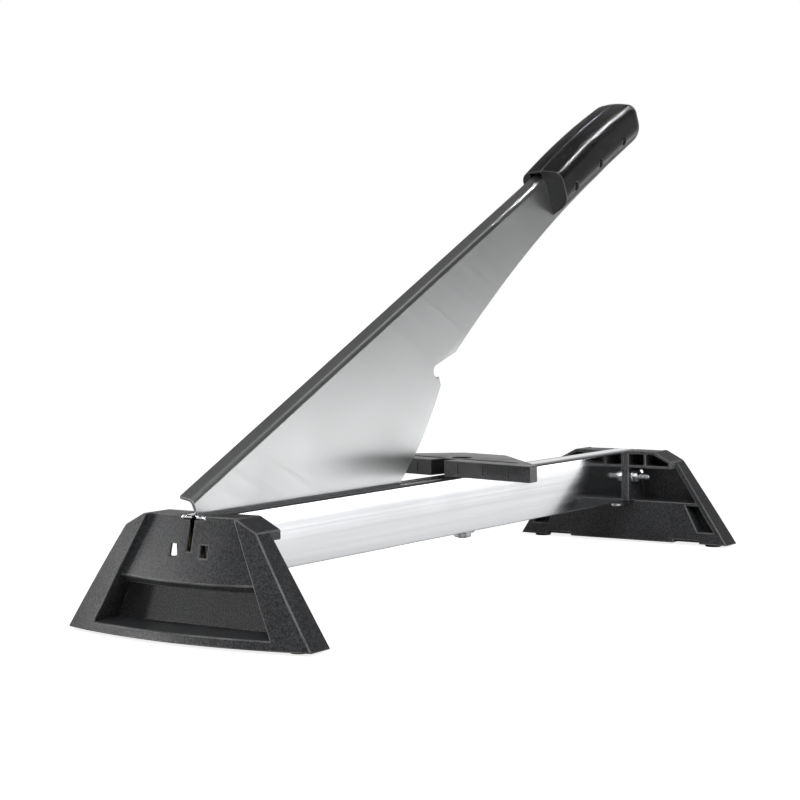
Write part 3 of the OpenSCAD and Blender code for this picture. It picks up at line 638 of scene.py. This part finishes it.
def row_of_pieces():
    """Repeats the piece along a straight row."""
    tree, entry = new_tree("row_of_pieces", {
        "Geometry": "NodeSocketGeometry", "Count": "NodeSocketInt", "Start": "NodeSocketVector",
        "Step": "NodeSocketVector", "Material": "NodeSocketMaterial"})
    line = add(tree, "GeometryNodeMeshLine", None, Count=entry["Count"], Start_Location=entry["Start"],
               Offset=entry["Step"])
    copies = add(tree, "GeometryNodeInstanceOnPoints", None, Points=line.outputs[0],
                 Instance=entry["Geometry"])
    return end_tree(tree, entry, copies.outputs[0])


def corner_pieces():
    """Repeats the piece at the four corners of a rectangle round the origin."""
    tree, entry = new_tree("corner_pieces", {
        "Geometry": "NodeSocketGeometry", "Length": "NodeSocketFloat", "Width": "NodeSocketFloat",
        "Material": "NodeSocketMaterial"})
    grid = add(tree, "GeometryNodeMeshGrid", None, Size_X=entry["Length"], Size_Y=entry["Width"],
               Vertices_X=2, Vertices_Y=2)
    copies = add(tree, "GeometryNodeInstanceOnPoints", None, Points=grid.outputs[0],
                 Instance=entry["Geometry"])
    return end_tree(tree, entry, copies.outputs[0])


def thread_ridge():
    """A screw thread's ridge along a helix round Z."""
    tree, entry = new_tree("thread_ridge", {
        "Radius": "NodeSocketFloat", "Height": "NodeSocketFloat", "Turns": "NodeSocketFloat",
        "Ridge": "NodeSocketFloat", "Material": "NodeSocketMaterial"})
    helix = add(tree, "GeometryNodeCurveSpiral", None, Resolution=24, Rotations=entry["Turns"],
                Start_Radius=entry["Radius"], End_Radius=entry["Radius"], Height=entry["Height"])
    profile = add(tree, "GeometryNodeCurvePrimitiveCircle", None, Resolution=4, Radius=entry["Ridge"])
    ridge = add(tree, "GeometryNodeCurveToMesh", None, Curve=helix.outputs[0],
                Profile_Curve=profile.outputs[0], Fill_Caps=True)
    return end_tree(tree, entry, ridge.outputs[0])


def grown(maker, mesh, **values):
    """The plain mesh that a geometry tree makes of a mesh, with its inputs set by name."""
    tree = made(maker)
    holder = held(mesh)
    modifier = holder.modifiers.new("Grown", "NODES")
    modifier.node_group = tree
    for item in tree.interface.items_tree:
        if item.in_out == "INPUT" and item.name in values:
            modifier[item.identifier] = values[item.name]
    return settled(holder)


def thread(origin, axis, length, outer, pitch, material):
    """A thread's ridge from a point along an axis."""
    ridge = pitch / 2
    climb = length - 2 * ridge
    mesh = grown(thread_ridge, bpy.data.meshes.new("thread"), Radius=outer - ridge, Height=climb,
                 Turns=climb / pitch, Ridge=ridge, Material=material)
    mesh.transform(along(origin, axis) @ Matrix.Translation((0, 0, ridge)))
    return mesh


def arm_matrix():
    """From arm coordinates, x along the arm from the pivot and z square to it, to the frame."""
    return Matrix.Translation(PIVOT) @ Matrix.Rotation(-sizes().arm_tilt, 4, "Y")


def arm_box(*nodes):
    """Lowest and highest corner of some nodes in arm coordinates."""
    back = arm_matrix().inverted()
    points = [back @ vertex.co for node in nodes for vertex in frame["nodes"][node].data.vertices]
    low = Vector(min(point[i] for point in points) for i in range(3))
    high = Vector(max(point[i] for point in points) for i in range(3))
    return low, high


def rounded(mesh, width, segments=3, angle=25.0):
    """The mesh with rounded edges, which the face attribute edge marks, and with flat faces shaded flat."""
    mesh.materials.clear()
    for _ in range(2):
        mesh.materials.append(None)
    mesh.polygons.foreach_set("material_index", [0] * len(mesh.polygons))
    mesh.shade_smooth()
    holder = held(mesh)
    bevel = holder.modifiers.new("Edges", "BEVEL")
    bevel.width = width
    bevel.segments = segments
    bevel.limit_method = "ANGLE"
    bevel.angle_limit = math.radians(angle)
    bevel.use_clamp_overlap = False
    bevel.loop_slide = False
    bevel.material = 1
    return weighed(mark_edges(settled(holder)))


def mark_edges(mesh):
    """Writes the face attribute edge: one on outward roundings, which have material slot 1, else nought."""
    shape = bmesh.new()
    shape.from_mesh(mesh)
    marks = []
    for face in shape.faces:
        centre = face.calc_center_median()
        rise = sum((near.calc_center_median() - centre).dot(face.normal)
                   for edge in face.edges for near in edge.link_faces if near is not face)
        marks.append(1.0 if face.material_index == 1 and rise < 0 else 0.0)
    shape.free()
    mesh.attributes.new("edge", "FLOAT", "FACE").data.foreach_set("value", marks)
    mesh.polygons.foreach_set("material_index", [0] * len(mesh.polygons))
    return mesh


def weighed(mesh):
    """The mesh with normals weighted by area, so that a small rounding can't tilt a large flat face."""
    sums = [Vector() for _ in mesh.vertices]
    for face in mesh.polygons:
        for index in face.vertices:
            sums[index] += face.area * face.normal
    mesh.shade_smooth()
    mesh.normals_split_custom_set_from_vertices([total.normalized() for total in sums])
    return mesh


# Operators

class CUTTER_OT_feet(Operator):
    """Rounds and finishes the two feet"""

    bl_idname = "cutter.feet"
    bl_label = "Feet"

    def execute(self, context):
        for node in ("near_foot", "far_foot"):
            mesh = rounded(merged_copy(node), sizes().foot_edge)
            new_piece(node + "_moulding", mesh, "base", "foot_plastic", foot_plastic(), node)
        return {"FINISHED"}


class CUTTER_OT_rail(Operator):
    """Finishes the drawn aluminium rail"""

    bl_idname = "cutter.rail"
    bl_label = "Rail"

    def execute(self, context):
        mesh = rounded(merged_copy("rail"), sizes().rail_edge, segments=2)
        new_piece("rail_extrusion", mesh, "base", "rail_aluminium", rail_aluminium(), "rail")
        return {"FINISHED"}


class CUTTER_OT_blade(Operator):
    """Finishes the folded steel blade"""

    bl_idname = "cutter.blade"
    bl_label = "Blade"

    def execute(self, context):
        mesh = rounded(merged_copy("blade"), sizes().sheet_edge, segments=2)
        new_piece("blade_sheet", mesh, "arm", "blade_steel", blade_steel(), "blade")
        return {"FINISHED"}


class CUTTER_OT_fence(Operator):
    """Finishes the fence and its index mark"""

    bl_idname = "cutter.fence"
    bl_label = "Fence"

    def execute(self, context):
        mesh = rounded(merged_copy("fence"), sizes().fence_edge)
        new_piece("fence_moulding", mesh, "fence", "fence_plastic", fence_plastic(), "fence")
        mark = rounded(merged_copy("fence_pointer"), MARK_EDGE, segments=2)
        new_piece("fence_mark", mark, "fence", "pointer_red", pointer_red(), "fence_pointer")
        return {"FINISHED"}


def grip_half_width():
    """Half of the grip's width, from the frame."""
    low, high = arm_box("grip_left", "grip_right")
    return (high.y - low.y) / 2


def grip_outline(half, top, foot):
    """Half of the grip's cross-section as (y, n) points, from the seam on top round to the seam below."""
    share = half / grip_half_width()
    edge = sizes().grip_edge * share
    brow = top - sizes().grip_crown * share
    points = []
    for step in range(CROWN_STEPS):
        run = step / CROWN_STEPS
        points.append((run * (half - edge), top - (top - brow) * run * run))
    for step in range(EDGE_STEPS + 1):
        angle = math.pi / 2 * (1 - step / EDGE_STEPS)
        points.append((half - edge + edge * math.cos(angle), brow - edge + edge * math.sin(angle)))
    fall = WAIST_HEIGHT * (top - foot)
    waist = foot + fall
    bend = [(half, waist), (half, waist - BELLY_HOLD * fall),
            (BELLY_WIDTH * half, foot + BELLY_LIFT * fall), (0.0, foot)]
    for step in range(BELLY_STEPS + 1):
        t = step / BELLY_STEPS
        weights = ((1 - t) ** 3, 3 * t * (1 - t) ** 2, 3 * t * t * (1 - t), t ** 3)
        points.append(tuple(sum(w * p[axis] for w, p in zip(weights, bend)) for axis in (0, 1)))
    return points


def grip_shell(side):
    """One half of the grip in arm coordinates, lofted from its front to its far end, without its holes."""
    low, high = arm_box("grip_left", "grip_right")
    half = grip_half_width()
    nose = sizes().grip_nose
    length = high.x - low.x
    tall = high.z - low.z
    stations = [low.x + (length - nose) * step / BODY_STEPS for step in range(BODY_STEPS + 1)]
    for step in range(1, NOSE_STEPS + 1):
        stations.append(high.x - nose * (1 - math.sin(math.pi / 2 * step / NOSE_STEPS)))
    rings = []
    for place in stations:
        late = max(0.0, (place - high.x + nose) / nose)
        draw = 1 - math.sqrt(max(0.0, 1 - late ** NOSE_POWER))
        sway = (2 * (place - low.x) / length - 1) ** 2
        top = high.z - GRIP_ARCH * sway - NOSE_DROP * tall * draw
        foot = low.z + NOSE_RISE * tall * draw
        outline = grip_outline(half * (1 - NOSE_TAPER * draw), top, foot)
        rings.append([(place, side * y, n) for y, n in outline])
    return lofted("grip_shell", rings)


def screw_row():
    """First grip screw's centre, the step to the next, and the radius of a head, in arm coordinates."""
    low, high = arm_box("grip_screws")
    head = (high.z - low.z) / 2
    first = Vector((low.x + head, 0.0, (low.z + high.z) / 2))
    step = (high.x - low.x - 2 * head) / (GRIP_SCREWS - 1)
    return first, Vector((step, 0.0, 0.0)), head


def grip_nut_corner(step):
    """Radius of a grip nut to its corners, from the row's box and its step."""
    low, high = arm_box("grip_nuts")
    return (high.x - low.x - (GRIP_SCREWS - 1) * step.x) / 2


class CUTTER_OT_grip(Operator):
    """Shapes the two halves of the grip round the tang, with their screw holes"""

    bl_idname = "cutter.grip"
    bl_label = "Grip"

    def execute(self, context):
        low = arm_box("grip_left", "grip_right")[0]
        start = low.x - OVERCUT
        tang = arm_box("blade")[1]
        nut_start = arm_box("grip_nuts")[0].y
        screw_start = -arm_box("grip_screws")[0].y
        first, step, head = screw_row()
        nut_hole = grip_nut_corner(step) + HOLE_GAP
        screw_hole = head + HOLE_GAP
        for node, side, outward in (("grip_left", 1, LEFT), ("grip_right", -1, RIGHT)):
            tools = [block((start, -TANG_ROOM, low.z - OVERCUT),
                           (tang.x + TANG_END_GAP, TANG_ROOM, tang.z - TANG_DROP))]
            if side > 0:
                tools.append(block((start, -TANG_ROOM, tang.z - POCKET_DEPTH),
                                   (low.x + POCKET_LENGTH, POCKET_WIDTH, tang.z + POCKET_GAP)))
                rings = [(nut_hole, nut_start, 6), (nut_hole, HOLE_REACH, 6)]
            else:
                rings = [(screw_hole, screw_start - GRIP_HEAD), (screw_hole, HOLE_REACH)]
            tools += [turned(rings, first + count * step, outward) for count in range(GRIP_SCREWS)]
            mesh = rounded(cut(grip_shell(side), tools), sizes().seam_edge, angle=38.0)
            mesh.transform(arm_matrix())
            new_piece(node + "_shell", weighed(mesh), "arm", "grip_plastic", grip_plastic(), node)
        return {"FINISHED"}


class CUTTER_OT_grip_screws(Operator):
    """Turns the three grip screws and their nuts"""

    bl_idname = "cutter.grip_screws"
    bl_label = "Grip screws"

    def execute(self, context):
        low, high = arm_box("grip_screws")
        nut_low, nut_high = arm_box("grip_nuts")
        first, step, head = screw_row()
        rings = socket_screw_rings(head, GRIP_HEAD, SCREW_SHANK, high.y - low.y, GRIP_DOME)
        screw = turned(rings, (0, low.y, 0), LEFT)
        rings = nut_rings(grip_nut_corner(step), SCREW_SHANK, nut_high.y - nut_low.y)
        nut = turned(rings, (0, nut_low.y, 0), LEFT, bored=True)
        for node, mesh in (("grip_screws", screw), ("grip_nuts", nut)):
            row = grown(row_of_pieces, mesh, Count=GRIP_SCREWS, Start=first, Step=step,
                        Material=zinc_steel())
            row.transform(arm_matrix())
            zinc_piece(node, crisp(row), "arm")
        return {"FINISHED"}


class CUTTER_OT_pads(Operator):
    """Moulds the four rubber pads under the feet"""

    bl_idname = "cutter.pads"
    bl_label = "Pads"

    def execute(self, context):
        low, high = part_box("rubber_pads")
        rings = [(PAD_RADIUS * share, low.z + PAD_GROOVE * depth) for share, depth in PAD_TREAD]
        rings += [(PAD_RADIUS - PAD_EDGE, low.z), (PAD_RADIUS - 0.15 * PAD_EDGE, low.z + 0.4 * PAD_EDGE),
                  (PAD_RADIUS, low.z + PAD_EDGE), (PAD_RADIUS, high.z)]
        pads = grown(corner_pieces, turned(rings), Length=high.x - low.x - 2 * PAD_RADIUS,
                     Width=high.y - low.y - 2 * PAD_RADIUS, Material=pad_rubber())
        new_piece("rubber_pads_moulded", crisp(pads), "base", "pad_rubber", pad_rubber(), "rubber_pads")
        return {"FINISHED"}


def radius_of(node):
    """Half of a round node's extent along the rail."""
    low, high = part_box(node)
    return (high.x - low.x) / 2


def pair_of(node, thick, bore, material, slot):
    """Two like rings across the rail that stand for a node."""
    low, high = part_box(node)
    middle = (low + high) / 2
    rings = washer_rings(radius_of(node), bore, thick)
    mesh = turned(rings, (middle.x, low.y, middle.z), LEFT, bored=True)
    step = (0, high.y - low.y - thick, 0)
    row = grown(row_of_pieces, mesh, Count=2, Start=(0, 0, 0), Step=step, Material=material)
    new_piece(node + "_turned", crisp(row), "base", slot, material, node)


def bolt_and_nut(stem, axis, corner, head, shank, pitch, point):
    """Turns a hexagon bolt across the rail, with a thread that stands out of its nut, and the nut."""
    lead, blunt, run_out = point
    low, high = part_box(stem + "_bolt")
    nut_low, nut_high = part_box(stem + "_nut")
    tail = nut_low.y - low.y
    tail_start = (axis.x, nut_low.y, axis.z)
    core = shank - pitch / 2
    rings = hex_bolt_rings(corner, head, shank, high.y - nut_low.y)
    bolt = turned(rings, (axis.x, high.y, axis.z), RIGHT)
    tip = turned([(core, 0), (core, tail - lead * core), (blunt * core, tail)], tail_start, RIGHT)
    ridge = thread(tail_start, RIGHT, tail - run_out * core, shank, pitch, zinc_steel())
    zinc_piece(stem + "_bolt", crisp(joined(bolt, tip, ridge)))
    rings = nut_rings(corner, shank, nut_high.y - nut_low.y)
    zinc_piece(stem + "_nut", turned(rings, tail_start, LEFT, bored=True))


class CUTTER_OT_pivot(Operator):
    """Turns the pivot bolt with its bushes, washers and nut"""

    bl_idname = "cutter.pivot"
    bl_label = "Pivot"

    def execute(self, context):
        pitch = sizes().coarse_pitch
        bolt_and_nut("pivot", PIVOT, PIVOT_CORNER, PIVOT_HEAD, PIVOT_SHANK, pitch, PIVOT_POINT)
        pair_of("pivot_washers", WASHER_THICK, PIVOT_SHANK, zinc_steel(), "zinc_steel")
        bush_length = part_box("pivot_bushes")[1].y - BUSH_START
        pair_of("pivot_bushes", bush_length, PIVOT_SHANK, bush_brass(), "bush_brass")
        return {"FINISHED"}


class CUTTER_OT_clamp(Operator):
    """Turns the far clamp bolt with its thread, nut, washers and spacer, and the near side screws"""

    bl_idname = "cutter.clamp"
    bl_label = "Clamp"

    def execute(self, context):
        low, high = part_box("clamp_washers")
        axis = (low + high) / 2
        pitch = sizes().clamp_pitch
        bolt_and_nut("clamp", axis, CLAMP_CORNER, CLAMP_HEAD, CLAMP_SHANK, pitch, CLAMP_POINT)
        pair_of("clamp_washers", WASHER_THICK, CLAMP_SHANK, zinc_steel(), "zinc_steel")
        low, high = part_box("clamp_spacer")
        rings = washer_rings(radius_of("clamp_spacer"), CLAMP_SHANK, high.y - low.y)
        zinc_piece("clamp_spacer", turned(rings, (axis.x, low.y, axis.z), LEFT, bored=True))
        low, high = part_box("near_side_screws")
        place = (low + high) / 2
        head = radius_of("near_side_screws")
        rings = socket_screw_rings(head, RAIL_HEAD, CLAMP_SHANK, high.y - SIDE_SCREW_END, RAIL_DOME)
        screws = [turned(rings, (place.x, reach, place.z), inward)
                  for reach, inward in ((high.y, RIGHT), (low.y, LEFT))]
        zinc_piece("near_side_screws", crisp(joined(*screws)))
        return {"FINISHED"}


class CUTTER_OT_lug_screws(Operator):
    """Turns the screws under the rail and their square nuts"""

    bl_idname = "cutter.lug_screws"
    bl_label = "Lug screws"

    def execute(self, context):
        low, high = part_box("lug_screws")
        head = (high.y - low.y) / 2
        rings = socket_screw_rings(head, RAIL_HEAD, SCREW_SHANK, high.z - low.z, RAIL_DOME)
        screw = turned(rings, (0, 0, low.z), UP)
        nut_low, nut_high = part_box("lug_nuts")
        corner = (nut_high.y - nut_low.y) / 2 * math.sqrt(2)
        thick = nut_high.z - nut_low.z
        edge = sizes().turned_edge
        rings = [(SCREW_SHANK, 0), (corner - edge, 0, 4), (corner, edge, 4), (corner, thick - edge, 4),
                 (corner - edge, thick, 4), (SCREW_SHANK, thick)]
        nut = turned(rings, bored=True)
        nut.transform(Matrix.Translation((0, 0, nut_low.z)) @ Matrix.Rotation(math.pi / 4, 4, "Z"))
        start = (low.x + head, 0, 0)
        step = (high.x - low.x - 2 * head, 0, 0)
        for node, mesh in (("lug_screws", screw), ("lug_nuts", nut)):
            row = grown(row_of_pieces, mesh, Count=2, Start=start, Step=step, Material=zinc_steel())
            zinc_piece(node, crisp(row))
        return {"FINISHED"}


class CUTTER_OT_fence_bolt(Operator):
    """Turns the fence's bolt with its washers, nut and glide disc"""

    bl_idname = "cutter.fence_bolt"
    bl_label = "Fence bolt"

    def execute(self, context):
        low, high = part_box("fence_bolt")
        nut_low, nut_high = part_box("fence_nut")
        axis = FENCE_AXIS.x
        tail = nut_low.z - low.z
        rings = socket_screw_rings(radius_of("fence_bolt"), FENCE_HEAD, FENCE_SHANK, high.z - nut_low.z)
        bolt = turned(rings, (axis, 0, high.z), -UP)
        chamfer = 0.7 * tail
        rings = [(FENCE_SHANK, 0), (FENCE_SHANK, tail - chamfer), (FENCE_SHANK - chamfer, tail)]
        tip = turned(rings, (axis, 0, nut_low.z), -UP)
        mesh = crisp(joined(bolt, tip))
        new_piece("fence_bolt_turned", mesh, "base", "black_steel", black_steel(), "fence_bolt")
        rings = nut_rings(radius_of("fence_nut"), FENCE_SHANK, nut_high.z - nut_low.z)
        zinc_piece("fence_nut", turned(rings, (axis, 0, nut_low.z), UP, bored=True))
        ring_low, ring_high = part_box("fence_washers")
        rings = washer_rings(FENCE_TOP_WASHER, FENCE_SHANK, WASHER_THICK)
        upper = turned(rings, (axis, 0, ring_high.z - WASHER_THICK), UP, bored=True)
        rings = washer_rings(radius_of("fence_washers"), FENCE_SHANK, WASHER_THICK)
        lower = turned(rings, (axis, 0, ring_low.z), UP, bored=True)
        zinc_piece("fence_washers", crisp(joined(upper, lower)))
        disc_low, disc_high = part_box("fence_glide")
        rings = washer_rings(radius_of("fence_glide"), FENCE_SHANK, disc_high.z - disc_low.z)
        disc = turned(rings, (axis, 0, disc_low.z), UP, bored=True)
        new_piece("fence_glide_disc", disc, "base", "glide_plastic", glide_plastic(), "fence_glide")
        return {"FINISHED"}


class CUTTER_OT_stage(Operator):
    """Sets the floor, the soft studio light and the camera"""

    bl_idname = "cutter.stage"
    bl_label = "Studio"

    def execute(self, context):
        scene = context.scene
        scene.view_settings.view_transform = "Standard"
        set_floor()
        set_world(scene)
        set_lights()
        set_camera(scene)
        return {"FINISHED"}


def seen_directly(tree, path):
    """One for rays from the camera, also through glass, as a socket."""
    return arithmetic(tree, "MAXIMUM", path.outputs["Is Camera Ray"], path.outputs["Is Transmission Ray"])


def set_floor():
    """A pale floor that shows white, keeps a soft shadow, and has toned strips where it is mirrored."""
    reach = FLOOR_REACH
    mesh = bpy.data.meshes.new("floor")
    mesh.from_pydata([(-reach, -reach, 0), (reach, -reach, 0), (reach, reach, 0), (-reach, reach, 0)], [],
                     [(0, 1, 2, 3)])
    floor = bpy.data.objects.new("floor", mesh)
    bpy.context.scene.collection.objects.link(floor)
    material = bpy.data.materials.new("floor_white")
    material.use_nodes = True
    tree = material.node_tree
    shader = tree.nodes["Principled BSDF"]
    shader.inputs["Base Color"].default_value = (0.8, 0.8, 0.8, 1.0)
    shader.inputs["Roughness"].default_value = 0.9
    shader.inputs["Specular IOR Level"].default_value = 0.0
    shader.inputs["Emission Color"].default_value = WHITE
    spot = add(tree, "ShaderNodeTexCoord").outputs["Object"]
    away = add(tree, "ShaderNodeVectorMath", {"operation": "LENGTH"}, i0=spot).outputs["Value"]
    path = add(tree, "ShaderNodeLightPath")
    glow = arithmetic(tree, "MULTIPLY", seen_directly(tree, path), remap(tree, away, *FLOOR_GLOW))
    tree.links.new(glow, shader.inputs["Emission Strength"])
    across = add(tree, "ShaderNodeSeparateXYZ", None, Vector=spot).outputs["Y"]
    near, open_strip, fade, left = (remap(tree, across, *tones)
                                    for tones in (FLOOR_NEAR, FLOOR_OPEN, FLOOR_FADE, FLOOR_LEFT))
    right = arithmetic(tree, "MULTIPLY", arithmetic(tree, "ADD", near, open_strip), fade)
    card = arithmetic(tree, "ADD", right, left)
    mirrored = add(tree, "ShaderNodeEmission", None, Strength=card)
    both = add(tree, "ShaderNodeMixShader", None, i0=path.outputs["Is Glossy Ray"], i1=shader.outputs[0],
               i2=mirrored.outputs[0])
    tree.links.new(both.outputs[0], tree.nodes["Material Output"].inputs["Surface"])
    mesh.materials.append(material)


def set_world(scene):
    """White where it is seen, dim where it lights, and mirrored dark but for a band behind the object."""
    world = bpy.data.worlds.new("studio")
    scene.world = world
    world.use_nodes = True
    tree = world.node_tree
    back = tree.nodes["Background"]
    back.inputs["Color"].default_value = WHITE
    place = add(tree, "ShaderNodeTexCoord").outputs["Generated"]
    direction = add(tree, "ShaderNodeSeparateXYZ", None, Vector=place).outputs
    right = remap(tree, direction["Y"], *WORLD_RIGHT)
    above = remap(tree, direction["Z"], *WORLD_ABOVE)
    roof = remap(tree, direction["Z"], *WORLD_ROOF)
    front = remap(tree, direction["X"], *WORLD_FRONT)
    flank = arithmetic(tree, "MAXIMUM", arithmetic(tree, "MULTIPLY", right, above), roof)
    dark = arithmetic(tree, "MAXIMUM", flank, front)
    mirrored = remap(tree, dark, 0.0, 1.0, MIRRORED_BAND, MIRRORED_DARK)
    path = add(tree, "ShaderNodeLightPath")
    lit = remap(tree, path.outputs["Is Glossy Ray"], 0.0, 1.0, WORLD_DIFFUSE, mirrored)
    strength = remap(tree, seen_directly(tree, path), 0.0, 1.0, lit, 1.0)
    tree.links.new(strength, back.inputs["Strength"])


def soft_light(name, place, aim, size, power, spread=180.0):
    """A square softbox that faces a point, with a grid that narrows its spread."""
    light = bpy.data.lights.new(name, "AREA")
    light.shape = "SQUARE"
    light.size = size
    light.energy = power
    light.spread = math.radians(spread)
    lamp = bpy.data.objects.new(name, light)
    lamp.location = place
    lamp.rotation_euler = (Vector(aim) - Vector(place)).to_track_quat("-Z", "Y").to_euler()
    bpy.context.scene.collection.objects.link(lamp)


def set_lights():
    """A large fill in front, one on the right, and small ones for the fold, the grip and the near foot."""
    soft_light("fill", place=(-1.2, -0.6, 1.6), aim=(0.0, 0.0, 0.1), size=1.0, power=12.0)
    soft_light("right", place=(-0.4, -1.6, 0.9), aim=(0.0, 0.0, 0.05), size=0.8, power=6.0)
    soft_light("overhead", place=(0.6, -0.5, 1.6), aim=(0.0, 0.0, 0.1), size=0.5, power=0.4)
    soft_light("edge", place=(0.75, -0.45, 1.5), aim=(0.24, -0.01, 0.315), size=0.1, power=0.05, spread=7.0)
    soft_light("left", place=(-1.06, 1.57, 0.42), aim=(-0.28, 0.0, 0.03), size=0.7, power=0.2, spread=36.0)
    soft_light("low", place=(-1.35, 1.22, 0.12), aim=(-0.28, 0.02, 0.03), size=0.2, power=0.045,
               spread=16.0)


def set_camera(scene):
    """The camera at the photograph's place and angle."""
    data = bpy.data.cameras.new("camera")
    data.lens = CAMERA_LENS
    data.sensor_width = 36.0
    data.clip_start = 0.05
    data.clip_end = 60.0
    camera = bpy.data.objects.new("camera", data)
    up = CAMERA_RIGHT.cross(CAMERA_LOOK).normalized()
    turn = Matrix((CAMERA_RIGHT, up, -CAMERA_LOOK)).transposed().to_4x4()
    camera.matrix_world = Matrix.Translation(CAMERA_PLACE) @ turn
    scene.collection.objects.link(camera)
    scene.camera = camera


class CUTTER_PT_panel(Panel):
    """Lists the steps that dress the cutter"""

    bl_idname = "CUTTER_PT_panel"
    bl_label = "Laminate cutter"
    bl_space_type = "VIEW_3D"
    bl_region_type = "UI"
    bl_category = "Cutter"

    def draw(self, context):
        for step in STEPS:
            self.layout.operator(step.bl_idname)


STEPS = (
    CUTTER_OT_feet,
    CUTTER_OT_rail,
    CUTTER_OT_blade,
    CUTTER_OT_fence,
    CUTTER_OT_grip,
    CUTTER_OT_grip_screws,
    CUTTER_OT_pads,
    CUTTER_OT_pivot,
    CUTTER_OT_clamp,
    CUTTER_OT_lug_screws,
    CUTTER_OT_fence_bolt,
    CUTTER_OT_stage,
)
CLASSES = (CutterSizes, CutterColours, *STEPS, CUTTER_PT_panel)


def register():
    """Registers the classes and hangs the settings on the scene."""
    for item in CLASSES:
        bpy.utils.register_class(item)
    bpy.types.Scene.cutter_sizes = PointerProperty(type=CutterSizes)
    bpy.types.Scene.cutter_colours = PointerProperty(type=CutterColours)


def unregister():
    """Takes the settings and the classes away again."""
    del bpy.types.Scene.cutter_colours
    del bpy.types.Scene.cutter_sizes
    for item in reversed(CLASSES):
        bpy.utils.unregister_class(item)


def main():
    """Dresses the cutter step by step."""
    register()
    bpy.ops.cutter.feet()
    bpy.ops.cutter.rail()
    bpy.ops.cutter.blade()
    bpy.ops.cutter.fence()
    bpy.ops.cutter.grip()
    bpy.ops.cutter.grip_screws()
    bpy.ops.cutter.pads()
    bpy.ops.cutter.pivot()
    bpy.ops.cutter.clamp()
    bpy.ops.cutter.lug_screws()
    bpy.ops.cutter.fence_bolt()
    bpy.ops.cutter.stage()


if __name__ == "__main__":
    main()
